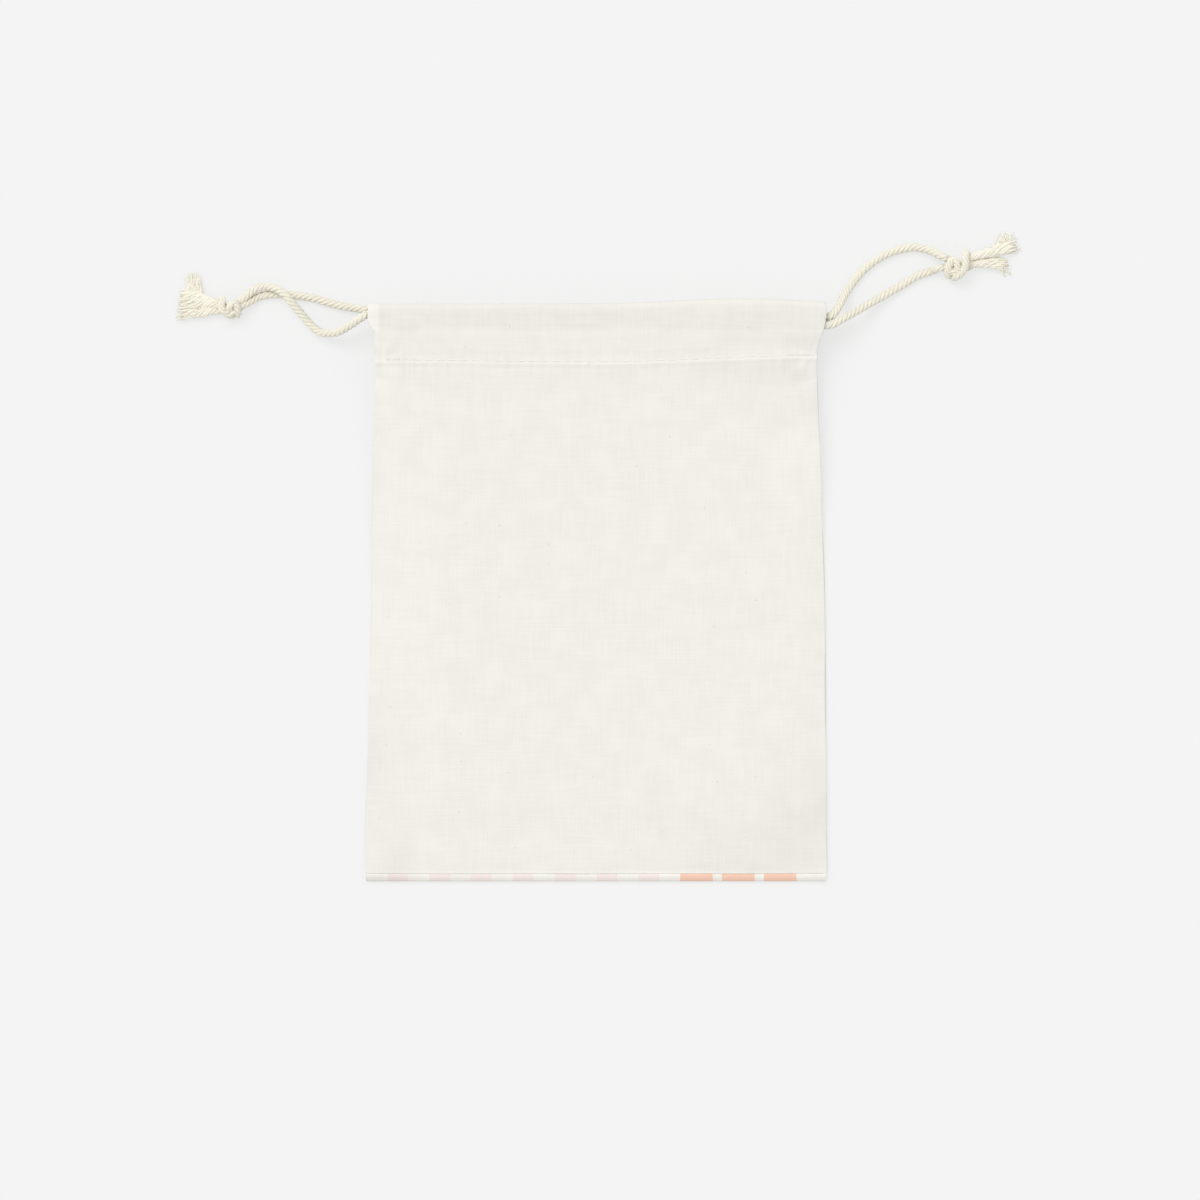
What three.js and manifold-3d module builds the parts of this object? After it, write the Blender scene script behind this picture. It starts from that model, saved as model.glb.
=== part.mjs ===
// Cotton drawstring pouch, lying flat on its back panel with its mouth just open.
// Two panels are sewn together on three sides. Each has a casing along the mouth, and two cords
// run through both casings from opposite sides, so that each cord is pulled from its own slit.
// Frame in millimetres: X across the pouch, Y towards the mouth, Z up from the surface below.
import * as THREE from "three";
import { mergeVertices } from "three/addons/utils/BufferGeometryUtils.js";
import Module from "manifold-3d";

// Driving sizes of the cloth
const BAG_LENGTH = 200;
const BOTTOM_WIDTH = 160;
const SLIT_NARROWING = 7;
const CLOTH_T = 0.5;
const CASING_DEPTH = 20;
const SLIT_DEPTH = 24.5;
const MOUTH_GAP = 4.4;
const HEM_BELOW_STITCH = 1;

// How far each end of a casing spreads beyond the width at the foot of its slit
const FRONT_LEFT_SPREAD = 0.2;
const FRONT_RIGHT_SPREAD = 2.6;
const BACK_LEFT_SPREAD = 2.4;
const BACK_RIGHT_SPREAD = 1.5;
const SPREAD_LENGTH = 10;

// The front stitching line climbs towards its right end
const STITCH_CLIMB = 2.2;
const CLIMB_REACH = 12;

// Soft fullness of the body
const PUFF_EASE = 26;
const SEAM_RISE_LENGTH = 75;
const NECK_LENGTH = 12;
const CASING_SLOPE = 10;
const EDGE_BOW = 1.5;

// Bottom edge, where the back cloth rolls up over the edge of the front
const ROLL_WIDTH = 2.2;

// Cords and sewing thread
const CORD_D = 3;
const CORD_SIDES = 8;
const CORD_STEP = 7;
const CORD_INSET = 1;
const CORD_APART = 0.5;
const THREAD_D = 0.4;
const THREAD_SIDES = 6;
const THREAD_INSET = 1;
const SLIT_THREAD_INSET = 5.5;
const BIGHT_LEG = 1.2;
const STRAND_LEAD = 0.9;
const BEND_MARGIN = 0.4;

// Clearance on each side of a cord or a thread, and between pieces that meet
const FIT = 0.3;

// Levels of the casings, from the surface below upwards
const CHANNEL = CORD_D + 2 * FIT;
const CASING_T = CHANNEL + 2 * CLOTH_T;
const FRONT_BASE_Z = CASING_T + MOUTH_GAP;
const TOTAL_T = FRONT_BASE_Z + CASING_T;
const MID_Z = TOTAL_T / 2;
const BACK_CORD_Z = CASING_T / 2;
const FRONT_CORD_Z = FRONT_BASE_Z + CASING_T / 2;
const SEAM_GAP = THREAD_D + 2 * FIT;
const SEAM_LOW_Z = CLOTH_T + SEAM_GAP / 2;
const LAYER_STEP = (SEAM_GAP + CLOTH_T) / 2;

// Lines across the pouch
const SLIT_WIDTH = BOTTOM_WIDTH - SLIT_NARROWING;
const TOP_Y = BAG_LENGTH / 2;
const BOTTOM_Y = -BAG_LENGTH / 2;
const STITCH_Y = TOP_Y - CASING_DEPTH;
const HEM_END_Y = STITCH_Y - HEM_BELOW_STITCH;
const SLIT_Y = TOP_Y - SLIT_DEPTH;
const NECK_Y = STITCH_Y - NECK_LENGTH;
const FULL_Y = STITCH_Y + CASING_SLOPE;
const FOLD_R = (CASING_T - CLOTH_T) / 2;
const FOLD_Y = TOP_Y - CLOTH_T / 2 - FOLD_R;
const ROLL_R = LAYER_STEP;
const ROLL_Y = BOTTOM_Y + CLOTH_T / 2 + ROLL_R;
const ROLL_END_Y = BOTTOM_Y + ROLL_WIDTH;
const FRONT_BOTTOM_Y = ROLL_END_Y + FIT;
const UPPER_CORD_Y = FOLD_Y - CORD_INSET;
const LOWER_CORD_Y = UPPER_CORD_Y - CORD_D - CORD_APART;

// Ends of the casings and of the cord runs
const WIDEST_SPREAD = Math.max(FRONT_LEFT_SPREAD, FRONT_RIGHT_SPREAD, BACK_LEFT_SPREAD, BACK_RIGHT_SPREAD);
const CASING_END_X = SLIT_WIDTH / 2 + WIDEST_SPREAD;
const BIGHT_X = CASING_END_X + FIT + CORD_D / 2;
const BEND_R = CORD_D / 2 + BEND_MARGIN;
const BIGHT_START_X = BIGHT_X - BEND_R - BIGHT_LEG;

// Stations from the left side seam (-1) to the right one (1)
const STATIONS = [-1, -0.95, -0.89, -0.82, -0.74, -0.66, -0.3, 0, 0.3, 0.66, 0.74, 0.82, 0.89, 0.95, 1];
const FOLD_STEPS = 6;
const ROLL_STEPS = 4;

// Free cord. Each point is [distance out from the casing end, distance along Y from the cord's own
// line in the casing, height in cord diameters], chosen by hand along the lay of the cord.
const TABLE_H = 0.52;
const LEFT_LOOP = [
  [2.4, 0, 3.72],
  [4.4, -1, 3.5],
  [6.2, -3.2, 3.15],
  [9.6, -5.7, 2.5],
  [13.3, -7.1, 1.73],
  [16.6, -6.3, 1.12],
  [20.2, -3.5, 0.9],
  [23.4, 0.3, 1.2],
  [26.6, 4, 1.62],
  [28.6, 6.7, 1.69],
  [31.9, 9.1, 1.42],
  [35.6, 9.9, 1],
  [39.3, 8.9, 1.14],
  [42.5, 5.9, 1.66],
  [44.7, 4.1, 1.66],
];
const LEFT_STRAIGHT = [
  [3.2, 1.2, 0.7],
  [8.5, 2.7, TABLE_H],
  [13.8, 4, TABLE_H],
  [19.1, 5.6, TABLE_H],
  [24.5, 6.4, TABLE_H],
  [28.2, 6.7, TABLE_H],
  [31.9, 6.9, TABLE_H],
  [35.1, 6.7, TABLE_H],
  [38.3, 5.9, TABLE_H],
  [40.9, 4.8, 0.53],
  [43.8, 3.6, 0.62],
  [45.6, 2.9, 0.64],
];
const RIGHT_LOWER = [
  [2.6, 0.1, 3.74],
  [6.2, 2.2, 3.4],
  [10.9, 4.9, 2.5],
  [16.7, 7.8, 1.4],
  [22, 10.8, 0.75],
  [27.3, 13.9, TABLE_H],
  [32.6, 17.1, TABLE_H],
  [37.4, 19, 0.55],
  [41.1, 19.8, 0.66],
  [43.8, 20.2, 0.7],
];
const RIGHT_UPPER = [
  [2.4, 0.1, 0.74],
  [4.7, 1.7, 0.68],
  [5.5, 4.2, 0.62],
  [6.2, 8.2, TABLE_H],
  [8.7, 13, TABLE_H],
  [12.5, 17.8, TABLE_H],
  [16.2, 21.1, TABLE_H],
  [20.4, 23.8, TABLE_H],
  [25.2, 25.6, TABLE_H],
  [30.5, 26.7, TABLE_H],
  [35.3, 25.9, 0.6],
  [39, 24.4, 1.1],
  [42, 23, 1.76],
  [44, 21.8, 1.76],
];

// Overhand knots: centre as above, half sizes and wrap in cord diameters, turn about Z in degrees
const LEFT_KNOT = { centre: [47.7, 2.4, 1.26], half: [1.5, 1.18, 1.2], wrap: 0.74, turn: 20 };
const RIGHT_KNOT = { centre: [45.8, 20.1, 1.4], half: [1.55, 1.5, 1.28], wrap: 0.86, turn: 12 };
const WRAP_TILT = 14;

// Frayed tails: each row is [out, along, height, half width, half height], the last three in cord
// diameters
const LEFT_TAIL_UPPER = [
  [50.5, 3.6, 1.2, 0.46, 0.46],
  [54.5, 5.6, 0.95, 0.55, 0.45],
  [58.8, 7.9, 0.72, 0.85, 0.4],
  [62, 9.7, 0.52, 1.15, 0.35],
  [65.6, 10.4, 0.42, 1.05, 0.28],
];
const LEFT_TAIL_LOWER = [
  [50.5, 1.1, 0.85, 0.46, 0.46],
  [55, 1.1, 0.7, 0.6, 0.46],
  [59.5, 1.2, 0.55, 0.85, 0.4],
  [63, 1.1, 0.45, 1.15, 0.35],
  [65.4, 0.7, 0.4, 1.25, 0.28],
];
const RIGHT_TAIL_UPPER = [
  [48.5, 22.5, 1.4, 0.46, 0.46],
  [53.5, 24.4, 1.1, 0.48, 0.46],
  [58.4, 26.1, 0.8, 0.6, 0.42],
  [62.6, 27.4, 0.6, 0.9, 0.36],
  [67, 28.4, 0.45, 1.15, 0.28],
];
const RIGHT_TAIL_LOWER = [
  [48.5, 20.1, 0.95, 0.46, 0.46],
  [53, 20.5, 0.8, 0.48, 0.46],
  [57.5, 20.9, 0.65, 0.62, 0.42],
  [61, 20.7, 0.5, 0.95, 0.34],
  [63.4, 20.4, 0.42, 1.2, 0.26],
];
const TAIL_SIDES = 10;

// Finishes: natural unbleached cotton, and the yellower twisted cord
const CLOTH_COLOUR = 0xefece1;
const CORD_COLOUR = 0xe6e0c4;
const THREAD_COLOUR = 0xeeead9;
const CLOTH_ROUGHNESS = 0.95;
const CORD_ROUGHNESS = 0.9;
const THREAD_ROUGHNESS = 0.8;

const wasm = await Module();
wasm.setup();

const FRONT = {
  up: 1,
  outerZ: TOTAL_T - CLOTH_T / 2,
  innerZ: FRONT_BASE_Z + CLOTH_T / 2,
  flatZ: FRONT_BASE_Z + CLOTH_T / 2,
  leftSpread: FRONT_LEFT_SPREAD,
  rightSpread: FRONT_RIGHT_SPREAD,
  climb: STITCH_CLIMB,
};
const BACK = {
  up: -1,
  outerZ: CLOTH_T / 2,
  innerZ: CASING_T - CLOTH_T / 2,
  flatZ: CLOTH_T / 2,
  leftSpread: BACK_LEFT_SPREAD,
  rightSpread: BACK_RIGHT_SPREAD,
  climb: 0,
};

function clamp01(value) {
  return Math.min(1, Math.max(0, value));
}

function smooth(value) {
  const t = clamp01(value);
  return t * t * (3 - 2 * t);
}

function mix(a, b, share) {
  return a + (b - a) * share;
}

// Half of the width at a height along Y, on the side that the sign names
function edgeX(panel, sign, y) {
  if (y <= SLIT_Y) {
    const rise = clamp01((y - BOTTOM_Y) / (SLIT_Y - BOTTOM_Y));
    return mix(BOTTOM_WIDTH / 2, SLIT_WIDTH / 2, Math.pow(rise, EDGE_BOW));
  }
  const spread = sign < 0 ? panel.leftSpread : panel.rightSpread;
  return SLIT_WIDTH / 2 + spread * smooth((y - SLIT_Y) / SPREAD_LENGTH);
}

// Height of the middle of the side seam
function seamZ(y) {
  return mix(SEAM_LOW_Z, MID_Z, smooth(1 + (y - SLIT_Y) / SEAM_RISE_LENGTH));
}

// Fullness from 0 at an edge to 1 on the flat
function puff(distance) {
  return Math.sin((Math.PI / 2) * clamp01(distance / PUFF_EASE));
}

function stitchZ(panel) {
  return panel.innerZ + panel.up * 2 * LAYER_STEP;
}

// Climb of the stitching line at a station, which fades away from the line
function climbAt(panel, u, y) {
  const near = 1 - smooth(Math.abs(y - STITCH_Y) / CLIMB_REACH);
  return panel.climb * smooth(u) * near;
}

// Middle of the cloth in the body and up to the stitching
function bodyZ(panel, u, y) {
  const edge = seamZ(y) + panel.up * LAYER_STEP;
  const side = puff((1 - Math.abs(u)) * edgeX(panel, Math.sign(u), y));
  const foot = panel === FRONT ? puff(y - FRONT_BOTTOM_Y) : 1;
  const body = mix(edge, panel.flatZ, side * foot);
  const neckStart = mix(SLIT_Y, NECK_Y, side);
  return mix(body, stitchZ(panel), smooth((y - neckStart) / (STITCH_Y - neckStart)));
}

function bodyRows() {
  const low = [0.17, 0.35, 0.55, 0.77, 1].map((share) => FRONT_BOTTOM_Y + share * PUFF_EASE);
  const high = [0.25, 0.5, 0.75].map((share) => mix(SLIT_Y - SEAM_RISE_LENGTH, NECK_Y, share));
  const neck = [0, 0.35, 0.62, 0.75, 0.87, 1].map((share) => mix(NECK_Y, STITCH_Y, share));
  return [...low, SLIT_Y - SEAM_RISE_LENGTH, ...high, ...neck];
}

// Middle line of the cloth at one station, in Y and Z, from the body over the fold to the hem
function casingLine(panel, u) {
  const rise = [0.3, 0.65, 1].map((share) => mix(STITCH_Y, FULL_Y, share));
  const line = rise.map((y) => [y, mix(stitchZ(panel), panel.outerZ, smooth((y - STITCH_Y) / CASING_SLOPE))]);
  const centreZ = (panel.outerZ + panel.innerZ) / 2;
  for (let i = 0; i <= FOLD_STEPS; i += 1) {
    const angle = (Math.PI * i) / FOLD_STEPS;
    line.push([FOLD_Y + FOLD_R * Math.sin(angle), centreZ + panel.up * FOLD_R * Math.cos(angle)]);
  }
  line.push([FULL_Y, panel.innerZ], [HEM_END_Y, panel.innerZ]);
  return line.map(([y, z]) => [y + climbAt(panel, u, y), z]);
}

function rollLine() {
  const line = [[ROLL_END_Y, SEAM_LOW_Z + ROLL_R]];
  for (let i = 0; i <= ROLL_STEPS; i += 1) {
    const angle = (Math.PI * i) / ROLL_STEPS;
    line.push([ROLL_Y - ROLL_R * Math.sin(angle), SEAM_LOW_Z + ROLL_R * Math.cos(angle)]);
  }
  return line;
}

function panelLine(panel, u) {
  const start = panel === FRONT ? [[FRONT_BOTTOM_Y, bodyZ(panel, u, FRONT_BOTTOM_Y)]] : rollLine();
  const body = bodyRows().map((y) => [y + climbAt(panel, u, y), bodyZ(panel, u, y)]);
  return [...start, ...body, ...casingLine(panel, u)];
}

// Outline of the cloth round its middle line, half a thickness to each side
function clothOutline(line) {
  const right = [];
  const left = [];
  line.forEach(([y, z], i) => {
    const before = line[Math.max(0, i - 1)];
    const after = line[Math.min(line.length - 1, i + 1)];
    const length = Math.hypot(after[0] - before[0], after[1] - before[1]);
    const ny = (-(after[1] - before[1]) / length) * (CLOTH_T / 2);
    const nz = ((after[0] - before[0]) / length) * (CLOTH_T / 2);
    left.push([y + ny, z + nz]);
    right.push([y - ny, z - nz]);
  });
  return [...right, ...left.reverse()];
}

function capTriangles(section, flip) {
  const flat = section.map((p) => new THREE.Vector2(p.y, p.z));
  return THREE.ShapeUtils.triangulateShape(flat, []).map(([a, b, c]) => {
    const turn = (flat[b].x - flat[a].x) * (flat[c].y - flat[a].y);
    const back = (flat[b].y - flat[a].y) * (flat[c].x - flat[a].x);
    return turn - back > 0 !== flip ? [a, b, c] : [a, c, b];
  });
}

// Closed surface through sections of equal point count that follow one another along +X
function loftSections(sections) {
  const count = sections[0].length;
  const index = [];
  for (let i = 0; i + 1 < sections.length; i += 1) {
    for (let j = 0; j < count; j += 1) {
      const a = i * count + j;
      const b = i * count + ((j + 1) % count);
      index.push(a, b, b + count, a, b + count, a + count);
    }
  }
  const last = (sections.length - 1) * count;
  capTriangles(sections[0], true).forEach((face) => index.push(...face));
  capTriangles(sections.at(-1), false).forEach((face) => index.push(...face.map((v) => v + last)));
  const geometry = new THREE.BufferGeometry().setFromPoints(sections.flat());
  geometry.setIndex(index);
  geometry.computeVertexNormals();
  return geometry;
}

function panelGeometry(panel) {
  const sections = STATIONS.map((u) =>
    clothOutline(panelLine(panel, u)).map(
      ([y, z]) => new THREE.Vector3(u * edgeX(panel, Math.sign(u), y), y, z),
    ),
  );
  return loftSections(sections);
}

function ringShape(diameter, sides) {
  const points = [];
  for (let i = 0; i < sides; i += 1) {
    const angle = (2 * Math.PI * i) / sides;
    points.push(new THREE.Vector2((diameter / 2) * Math.cos(angle), (diameter / 2) * Math.sin(angle)));
  }
  return new THREE.Shape(points);
}

function tubeGeometry(points, diameter, sides, step) {
  const path = new THREE.CatmullRomCurve3(points.map((p) => new THREE.Vector3(...p)));
  const steps = Math.max(1, Math.ceil(path.getLength() / step));
  const options = { steps, extrudePath: path, bevelEnabled: false };
  return new THREE.ExtrudeGeometry(ringShape(diameter, sides), options);
}

function solidOf(geometry) {
  const bare = geometry.clone();
  bare.deleteAttribute("normal");
  bare.deleteAttribute("uv");
  const merged = mergeVertices(bare);
  const mesh = new wasm.Mesh({
    numProp: 3,
    vertProperties: merged.attributes.position.array,
    triVerts: new Uint32Array(merged.index.array),
  });
  return new wasm.Manifold(mesh);
}

function geometryOf(solid) {
  const mesh = solid.getMesh();
  const geometry = new THREE.BufferGeometry();
  geometry.setAttribute("position", new THREE.BufferAttribute(mesh.vertProperties, 3));
  geometry.setIndex(new THREE.BufferAttribute(mesh.triVerts, 1));
  geometry.computeVertexNormals();
  return geometry;
}

// Line of thread that joins the casing's hem to its panel
function casingThread(panel) {
  const z = panel.innerZ + panel.up * LAYER_STEP;
  const points = STATIONS.map((u) => {
    const inset = Math.sign(u) * THREAD_INSET;
    return [u * edgeX(panel, Math.sign(u), STITCH_Y) - inset, STITCH_Y + climbAt(panel, u, STITCH_Y), z];
  });
  return tubeGeometry(points, THREAD_D, THREAD_SIDES, BAG_LENGTH / 12);
}

// Line of thread between the panels up one side, from the bottom seam to the foot of the slit
function sideSeamThread(sign) {
  const points = [];
  for (let i = 0; i <= 10; i += 1) {
    const y = mix(FRONT_BOTTOM_Y + 2 * THREAD_INSET, SLIT_Y, i / 10);
    points.push([sign * (edgeX(FRONT, sign, y) - THREAD_INSET), y, seamZ(y)]);
  }
  return tubeGeometry(points, THREAD_D, THREAD_SIDES, BAG_LENGTH / 12);
}

function bottomSeamThread() {
  const y = FRONT_BOTTOM_Y + THREAD_INSET / 2;
  const end = BOTTOM_WIDTH / 2 - THREAD_INSET;
  return tubeGeometry([[-end, y, SEAM_LOW_Z], [end, y, SEAM_LOW_Z]], THREAD_D, THREAD_SIDES, BAG_LENGTH);
}

// Thread that holds the turned-in edges of one slit: down the front casing, round the foot of the
// slit and up the back casing
function slitThread(sign) {
  const x = sign * (SLIT_WIDTH / 2 - SLIT_THREAD_INSET);
  const drop = FIT + THREAD_D / 2;
  const frontZ = FRONT_BASE_Z - drop;
  const backZ = CASING_T + drop;
  const points = [
    [x, FOLD_Y, frontZ],
    [x, FULL_Y, frontZ],
    [x, STITCH_Y, frontZ],
    [x, SLIT_Y + THREAD_INSET, MID_Z],
    [x, STITCH_Y, backZ],
    [x, FULL_Y, backZ],
    [x, FOLD_Y, backZ],
  ];
  return tubeGeometry(points, THREAD_D, THREAD_SIDES, 3);
}

// Cord inside one casing, from its exit on the pull side to the leg of its bight
function cordRun(pullSign, y, z) {
  const exit = [pullSign * CASING_END_X, y, z];
  const inner = [-pullSign * (BIGHT_START_X - FIT), y, z];
  return tubeGeometry([exit, inner], CORD_D, CORD_SIDES, BAG_LENGTH);
}

// Turn of the cord from the front casing to the back one, round the far slit
function cordBight(pullSign, y) {
  const side = -pullSign;
  const cut = BEND_R * (1 - Math.SQRT1_2);
  const points = [
    [side * BIGHT_START_X, y, FRONT_CORD_Z],
    [side * (BIGHT_X - BEND_R), y, FRONT_CORD_Z],
    [side * (BIGHT_X - cut), y, FRONT_CORD_Z - cut],
    [side * BIGHT_X, y, FRONT_CORD_Z - BEND_R],
    [side * BIGHT_X, y, BACK_CORD_Z + BEND_R],
    [side * (BIGHT_X - cut), y, BACK_CORD_Z + cut],
    [side * (BIGHT_X - BEND_R), y, BACK_CORD_Z],
    [side * BIGHT_START_X, y, BACK_CORD_Z],
  ];
  return tubeGeometry(points, CORD_D, CORD_SIDES, CORD_D / 3);
}

// Place of a hand-chosen point: outward from the casing end, along from the cord's line
function placed(pullSign, y, [out, along, height]) {
  return [pullSign * (CASING_END_X + out), y + along, height * CORD_D];
}

function knotSolid(pullSign, y, knot, grow) {
  const half = knot.half.map((share) => share * CORD_D + grow);
  const core = new THREE.SphereGeometry(1, 14, 10);
  core.scale(...half);
  const wrap = new THREE.TorusGeometry(knot.wrap * CORD_D, CORD_D / 2 + grow, 8, 16);
  wrap.rotateY(Math.PI / 2);
  wrap.rotateZ(THREE.MathUtils.degToRad(WRAP_TILT));
  const place = new THREE.Matrix4()
    .makeRotationZ(THREE.MathUtils.degToRad(pullSign * knot.turn))
    .setPosition(new THREE.Vector3(...placed(pullSign, y, knot.centre)));
  core.applyMatrix4(place);
  wrap.applyMatrix4(place);
  return solidOf(core).add(solidOf(wrap));
}

// Free cord from the casing to the knot, which it meets with a clearance
function freeStrand(pullSign, y, startZ, route, knot) {
  const start = [pullSign * (CASING_END_X + FIT), y, startZ];
  const lead = [pullSign * (CASING_END_X + FIT + STRAND_LEAD), y, startZ];
  const points = [start, lead, ...route.map((point) => placed(pullSign, y, point))];
  const tube = solidOf(tubeGeometry(points, CORD_D, CORD_SIDES, CORD_STEP / 2));
  return geometryOf(tube.subtract(knotSolid(pullSign, y, knot, FIT)));
}

// Frayed end of the cord beyond the knot, wider and flatter towards its tip
function tailGeometry(pullSign, y, rows, knot) {
  const centres = rows.map((row) => new THREE.Vector3(...placed(pullSign, y, row)));
  const sections = rows.map((row, i) => {
    const along = centres[Math.min(rows.length - 1, i + 1)].clone().sub(centres[Math.max(0, i - 1)]);
    const across = new THREE.Vector3(-along.y, along.x, 0).normalize();
    const ring = [];
    for (let k = 0; k < TAIL_SIDES; k += 1) {
      const angle = (2 * Math.PI * k) / TAIL_SIDES;
      const point = centres[i].clone().addScaledVector(across, row[3] * CORD_D * Math.cos(angle));
      point.z += row[4] * CORD_D * Math.sin(angle);
      ring.push(point);
    }
    return ring;
  });
  if (pullSign < 0) sections.reverse();
  const ordered = pullSign < 0 ? sections.map((ring) => ring.reverse()) : sections;
  const solid = solidOf(loftSections(ordered));
  return geometryOf(solid.subtract(knotSolid(pullSign, y, knot, FIT)));
}

function piece(name, geometry, colour, roughness) {
  const material = new THREE.MeshStandardMaterial({ color: colour, roughness, metalness: 0 });
  const mesh = new THREE.Mesh(geometry, material);
  mesh.name = name;
  return mesh;
}

function clothPieces() {
  return [
    piece("front_panel", panelGeometry(FRONT), CLOTH_COLOUR, CLOTH_ROUGHNESS),
    piece("back_panel", panelGeometry(BACK), CLOTH_COLOUR, CLOTH_ROUGHNESS),
  ];
}

function threadPieces() {
  const lines = {
    front_casing_thread: casingThread(FRONT),
    back_casing_thread: casingThread(BACK),
    left_seam_thread: sideSeamThread(-1),
    right_seam_thread: sideSeamThread(1),
    bottom_seam_thread: bottomSeamThread(),
    left_slit_thread: slitThread(-1),
    right_slit_thread: slitThread(1),
  };
  return Object.entries(lines).map(([name, line]) => piece(name, line, THREAD_COLOUR, THREAD_ROUGHNESS));
}

// All pieces of one cord: two runs in the casings, bight, two free strands, knot and two tails
function cordPieces(cord) {
  const { name, sign, y, knot } = cord;
  const parts = {
    front_run: cordRun(sign, y, FRONT_CORD_Z),
    back_run: cordRun(sign, y, BACK_CORD_Z),
    bight: cordBight(sign, y),
    front_strand: freeStrand(sign, y, FRONT_CORD_Z, cord.frontRoute, knot),
    back_strand: freeStrand(sign, y, BACK_CORD_Z, cord.backRoute, knot),
    knot: geometryOf(knotSolid(sign, y, knot, 0)),
    upper_tail: tailGeometry(sign, y, cord.upperTail, knot),
    lower_tail: tailGeometry(sign, y, cord.lowerTail, knot),
  };
  return Object.entries(parts).map(([part, shape]) =>
    piece(name + "_" + part, shape, CORD_COLOUR, CORD_ROUGHNESS),
  );
}

const LEFT_CORD = {
  name: "left_cord",
  sign: -1,
  y: UPPER_CORD_Y,
  knot: LEFT_KNOT,
  frontRoute: LEFT_LOOP,
  backRoute: LEFT_STRAIGHT,
  upperTail: LEFT_TAIL_UPPER,
  lowerTail: LEFT_TAIL_LOWER,
};
const RIGHT_CORD = {
  name: "right_cord",
  sign: 1,
  y: LOWER_CORD_Y,
  knot: RIGHT_KNOT,
  frontRoute: RIGHT_LOWER,
  backRoute: RIGHT_UPPER,
  upperTail: RIGHT_TAIL_UPPER,
  lowerTail: RIGHT_TAIL_LOWER,
};

const pouch = new THREE.Group();
pouch.name = "drawstring_pouch";
pouch.add(...clothPieces(), ...threadPieces(), ...cordPieces(LEFT_CORD), ...cordPieces(RIGHT_CORD));

export default pouch;
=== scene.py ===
"""Cotton drawstring pouch, lying flat on its printed back panel, with its two cords drawn out.

Until a mesh is made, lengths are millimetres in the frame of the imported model: X across the
pouch, Y towards its mouth, Z up from the surface that it lies on.
"""
import logging
from dataclasses import dataclass, field
from enum import Enum

import bpy
import numpy as np
from mathutils import Euler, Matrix
from numpy.typing import NDArray


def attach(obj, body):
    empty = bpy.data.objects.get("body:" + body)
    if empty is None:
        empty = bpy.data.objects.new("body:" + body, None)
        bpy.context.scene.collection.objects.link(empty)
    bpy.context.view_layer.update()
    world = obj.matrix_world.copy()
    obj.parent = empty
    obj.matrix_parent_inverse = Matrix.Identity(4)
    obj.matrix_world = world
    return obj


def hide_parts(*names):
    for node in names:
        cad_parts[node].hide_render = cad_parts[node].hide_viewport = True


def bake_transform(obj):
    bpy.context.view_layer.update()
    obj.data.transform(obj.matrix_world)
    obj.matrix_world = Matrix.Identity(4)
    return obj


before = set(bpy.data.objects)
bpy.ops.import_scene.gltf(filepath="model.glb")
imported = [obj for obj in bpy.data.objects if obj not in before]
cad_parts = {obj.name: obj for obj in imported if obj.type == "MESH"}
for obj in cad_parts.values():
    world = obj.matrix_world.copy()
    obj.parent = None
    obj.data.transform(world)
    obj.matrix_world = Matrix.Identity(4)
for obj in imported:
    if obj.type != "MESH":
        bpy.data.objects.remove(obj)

Array = NDArray[np.float64]
Flags = NDArray[np.bool_]
Pair = tuple[float, float]
Point = tuple[float, float, float]
Colour = tuple[float, float, float, float]
Material, Node, Socket = bpy.types.Material, bpy.types.Node, bpy.types.NodeSocket
LOG = logging.getLogger("pouch")
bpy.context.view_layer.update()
MM = 0.001
WHITE = (1.0, 1.0, 1.0, 1.0)
WAVES_IN_SUM = 14
WAVE_HEIGHT = 2.2
CURVE_DETAIL = 60


# ---- plain formulas


def smooth(value: Array) -> Array:
    """Eased step: t squared times (3 - 2t), with t held between 0 and 1."""
    t = np.clip(value, 0.0, 1.0)
    return t * t * (3 - 2 * t)


def mix(low: Array, high: Array, share: Array) -> Array:
    """Value between low and high at a share from 0 to 1."""
    return low + (high - low) * share


def bump(distance: Array, reach: float) -> Array:
    """Rounded hump: 1 at distance 0, e to the minus square of distance over reach."""
    return np.exp(-((distance / reach) ** 2))


def unit(vectors: Array) -> Array:
    """Vectors scaled to length 1 along their last axis."""
    return vectors / np.maximum(np.linalg.norm(vectors, axis=-1, keepdims=True), 1e-12)


def distance_along(lines: Array) -> Array:
    """Distance of each point from the first of its line, the sum of the chords up to it."""
    chords = np.linalg.norm(np.diff(lines, axis=-2), axis=-1)
    return np.concatenate([np.zeros_like(chords[..., :1]), np.cumsum(chords, axis=-1)], axis=-1)


def columns_at(places: Array, known: Array, values: Array) -> Array:
    """Columns of values that are known at some places on a line, worked out at others."""
    return np.stack([np.interp(places, known, column) for column in values.T], axis=1)


def level_side(line: Array) -> Array:
    """Level direction to the left of a line at each of its points."""
    along = unit(np.gradient(line, axis=0))
    return unit(np.stack([-along[:, 1], along[:, 0], np.zeros(len(line))], axis=1))


def ring_angles(count: int) -> Array:
    """Angles of even places round a ring."""
    return 2 * np.pi * np.arange(count) / count


@dataclass(frozen=True)
class Hump:
    """Rounded hump across a line: its height, the place of its middle and its reach."""

    height: float
    middle: float
    reach: float

    def at(self, place: Array) -> Array:
        """Height times the rounded hump at a distance from the middle."""
        return self.height * bump(place - self.middle, self.reach)


@dataclass(frozen=True)
class Rise:
    """Eased step across a line: its height, where it starts, and its span, less than 0 if it
    rises towards lower places."""

    height: float
    start: float
    span: float

    def at(self, place: Array) -> Array:
        """Height times the eased step at a distance from the start."""
        return self.height * smooth((place - self.start) / self.span)


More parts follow.
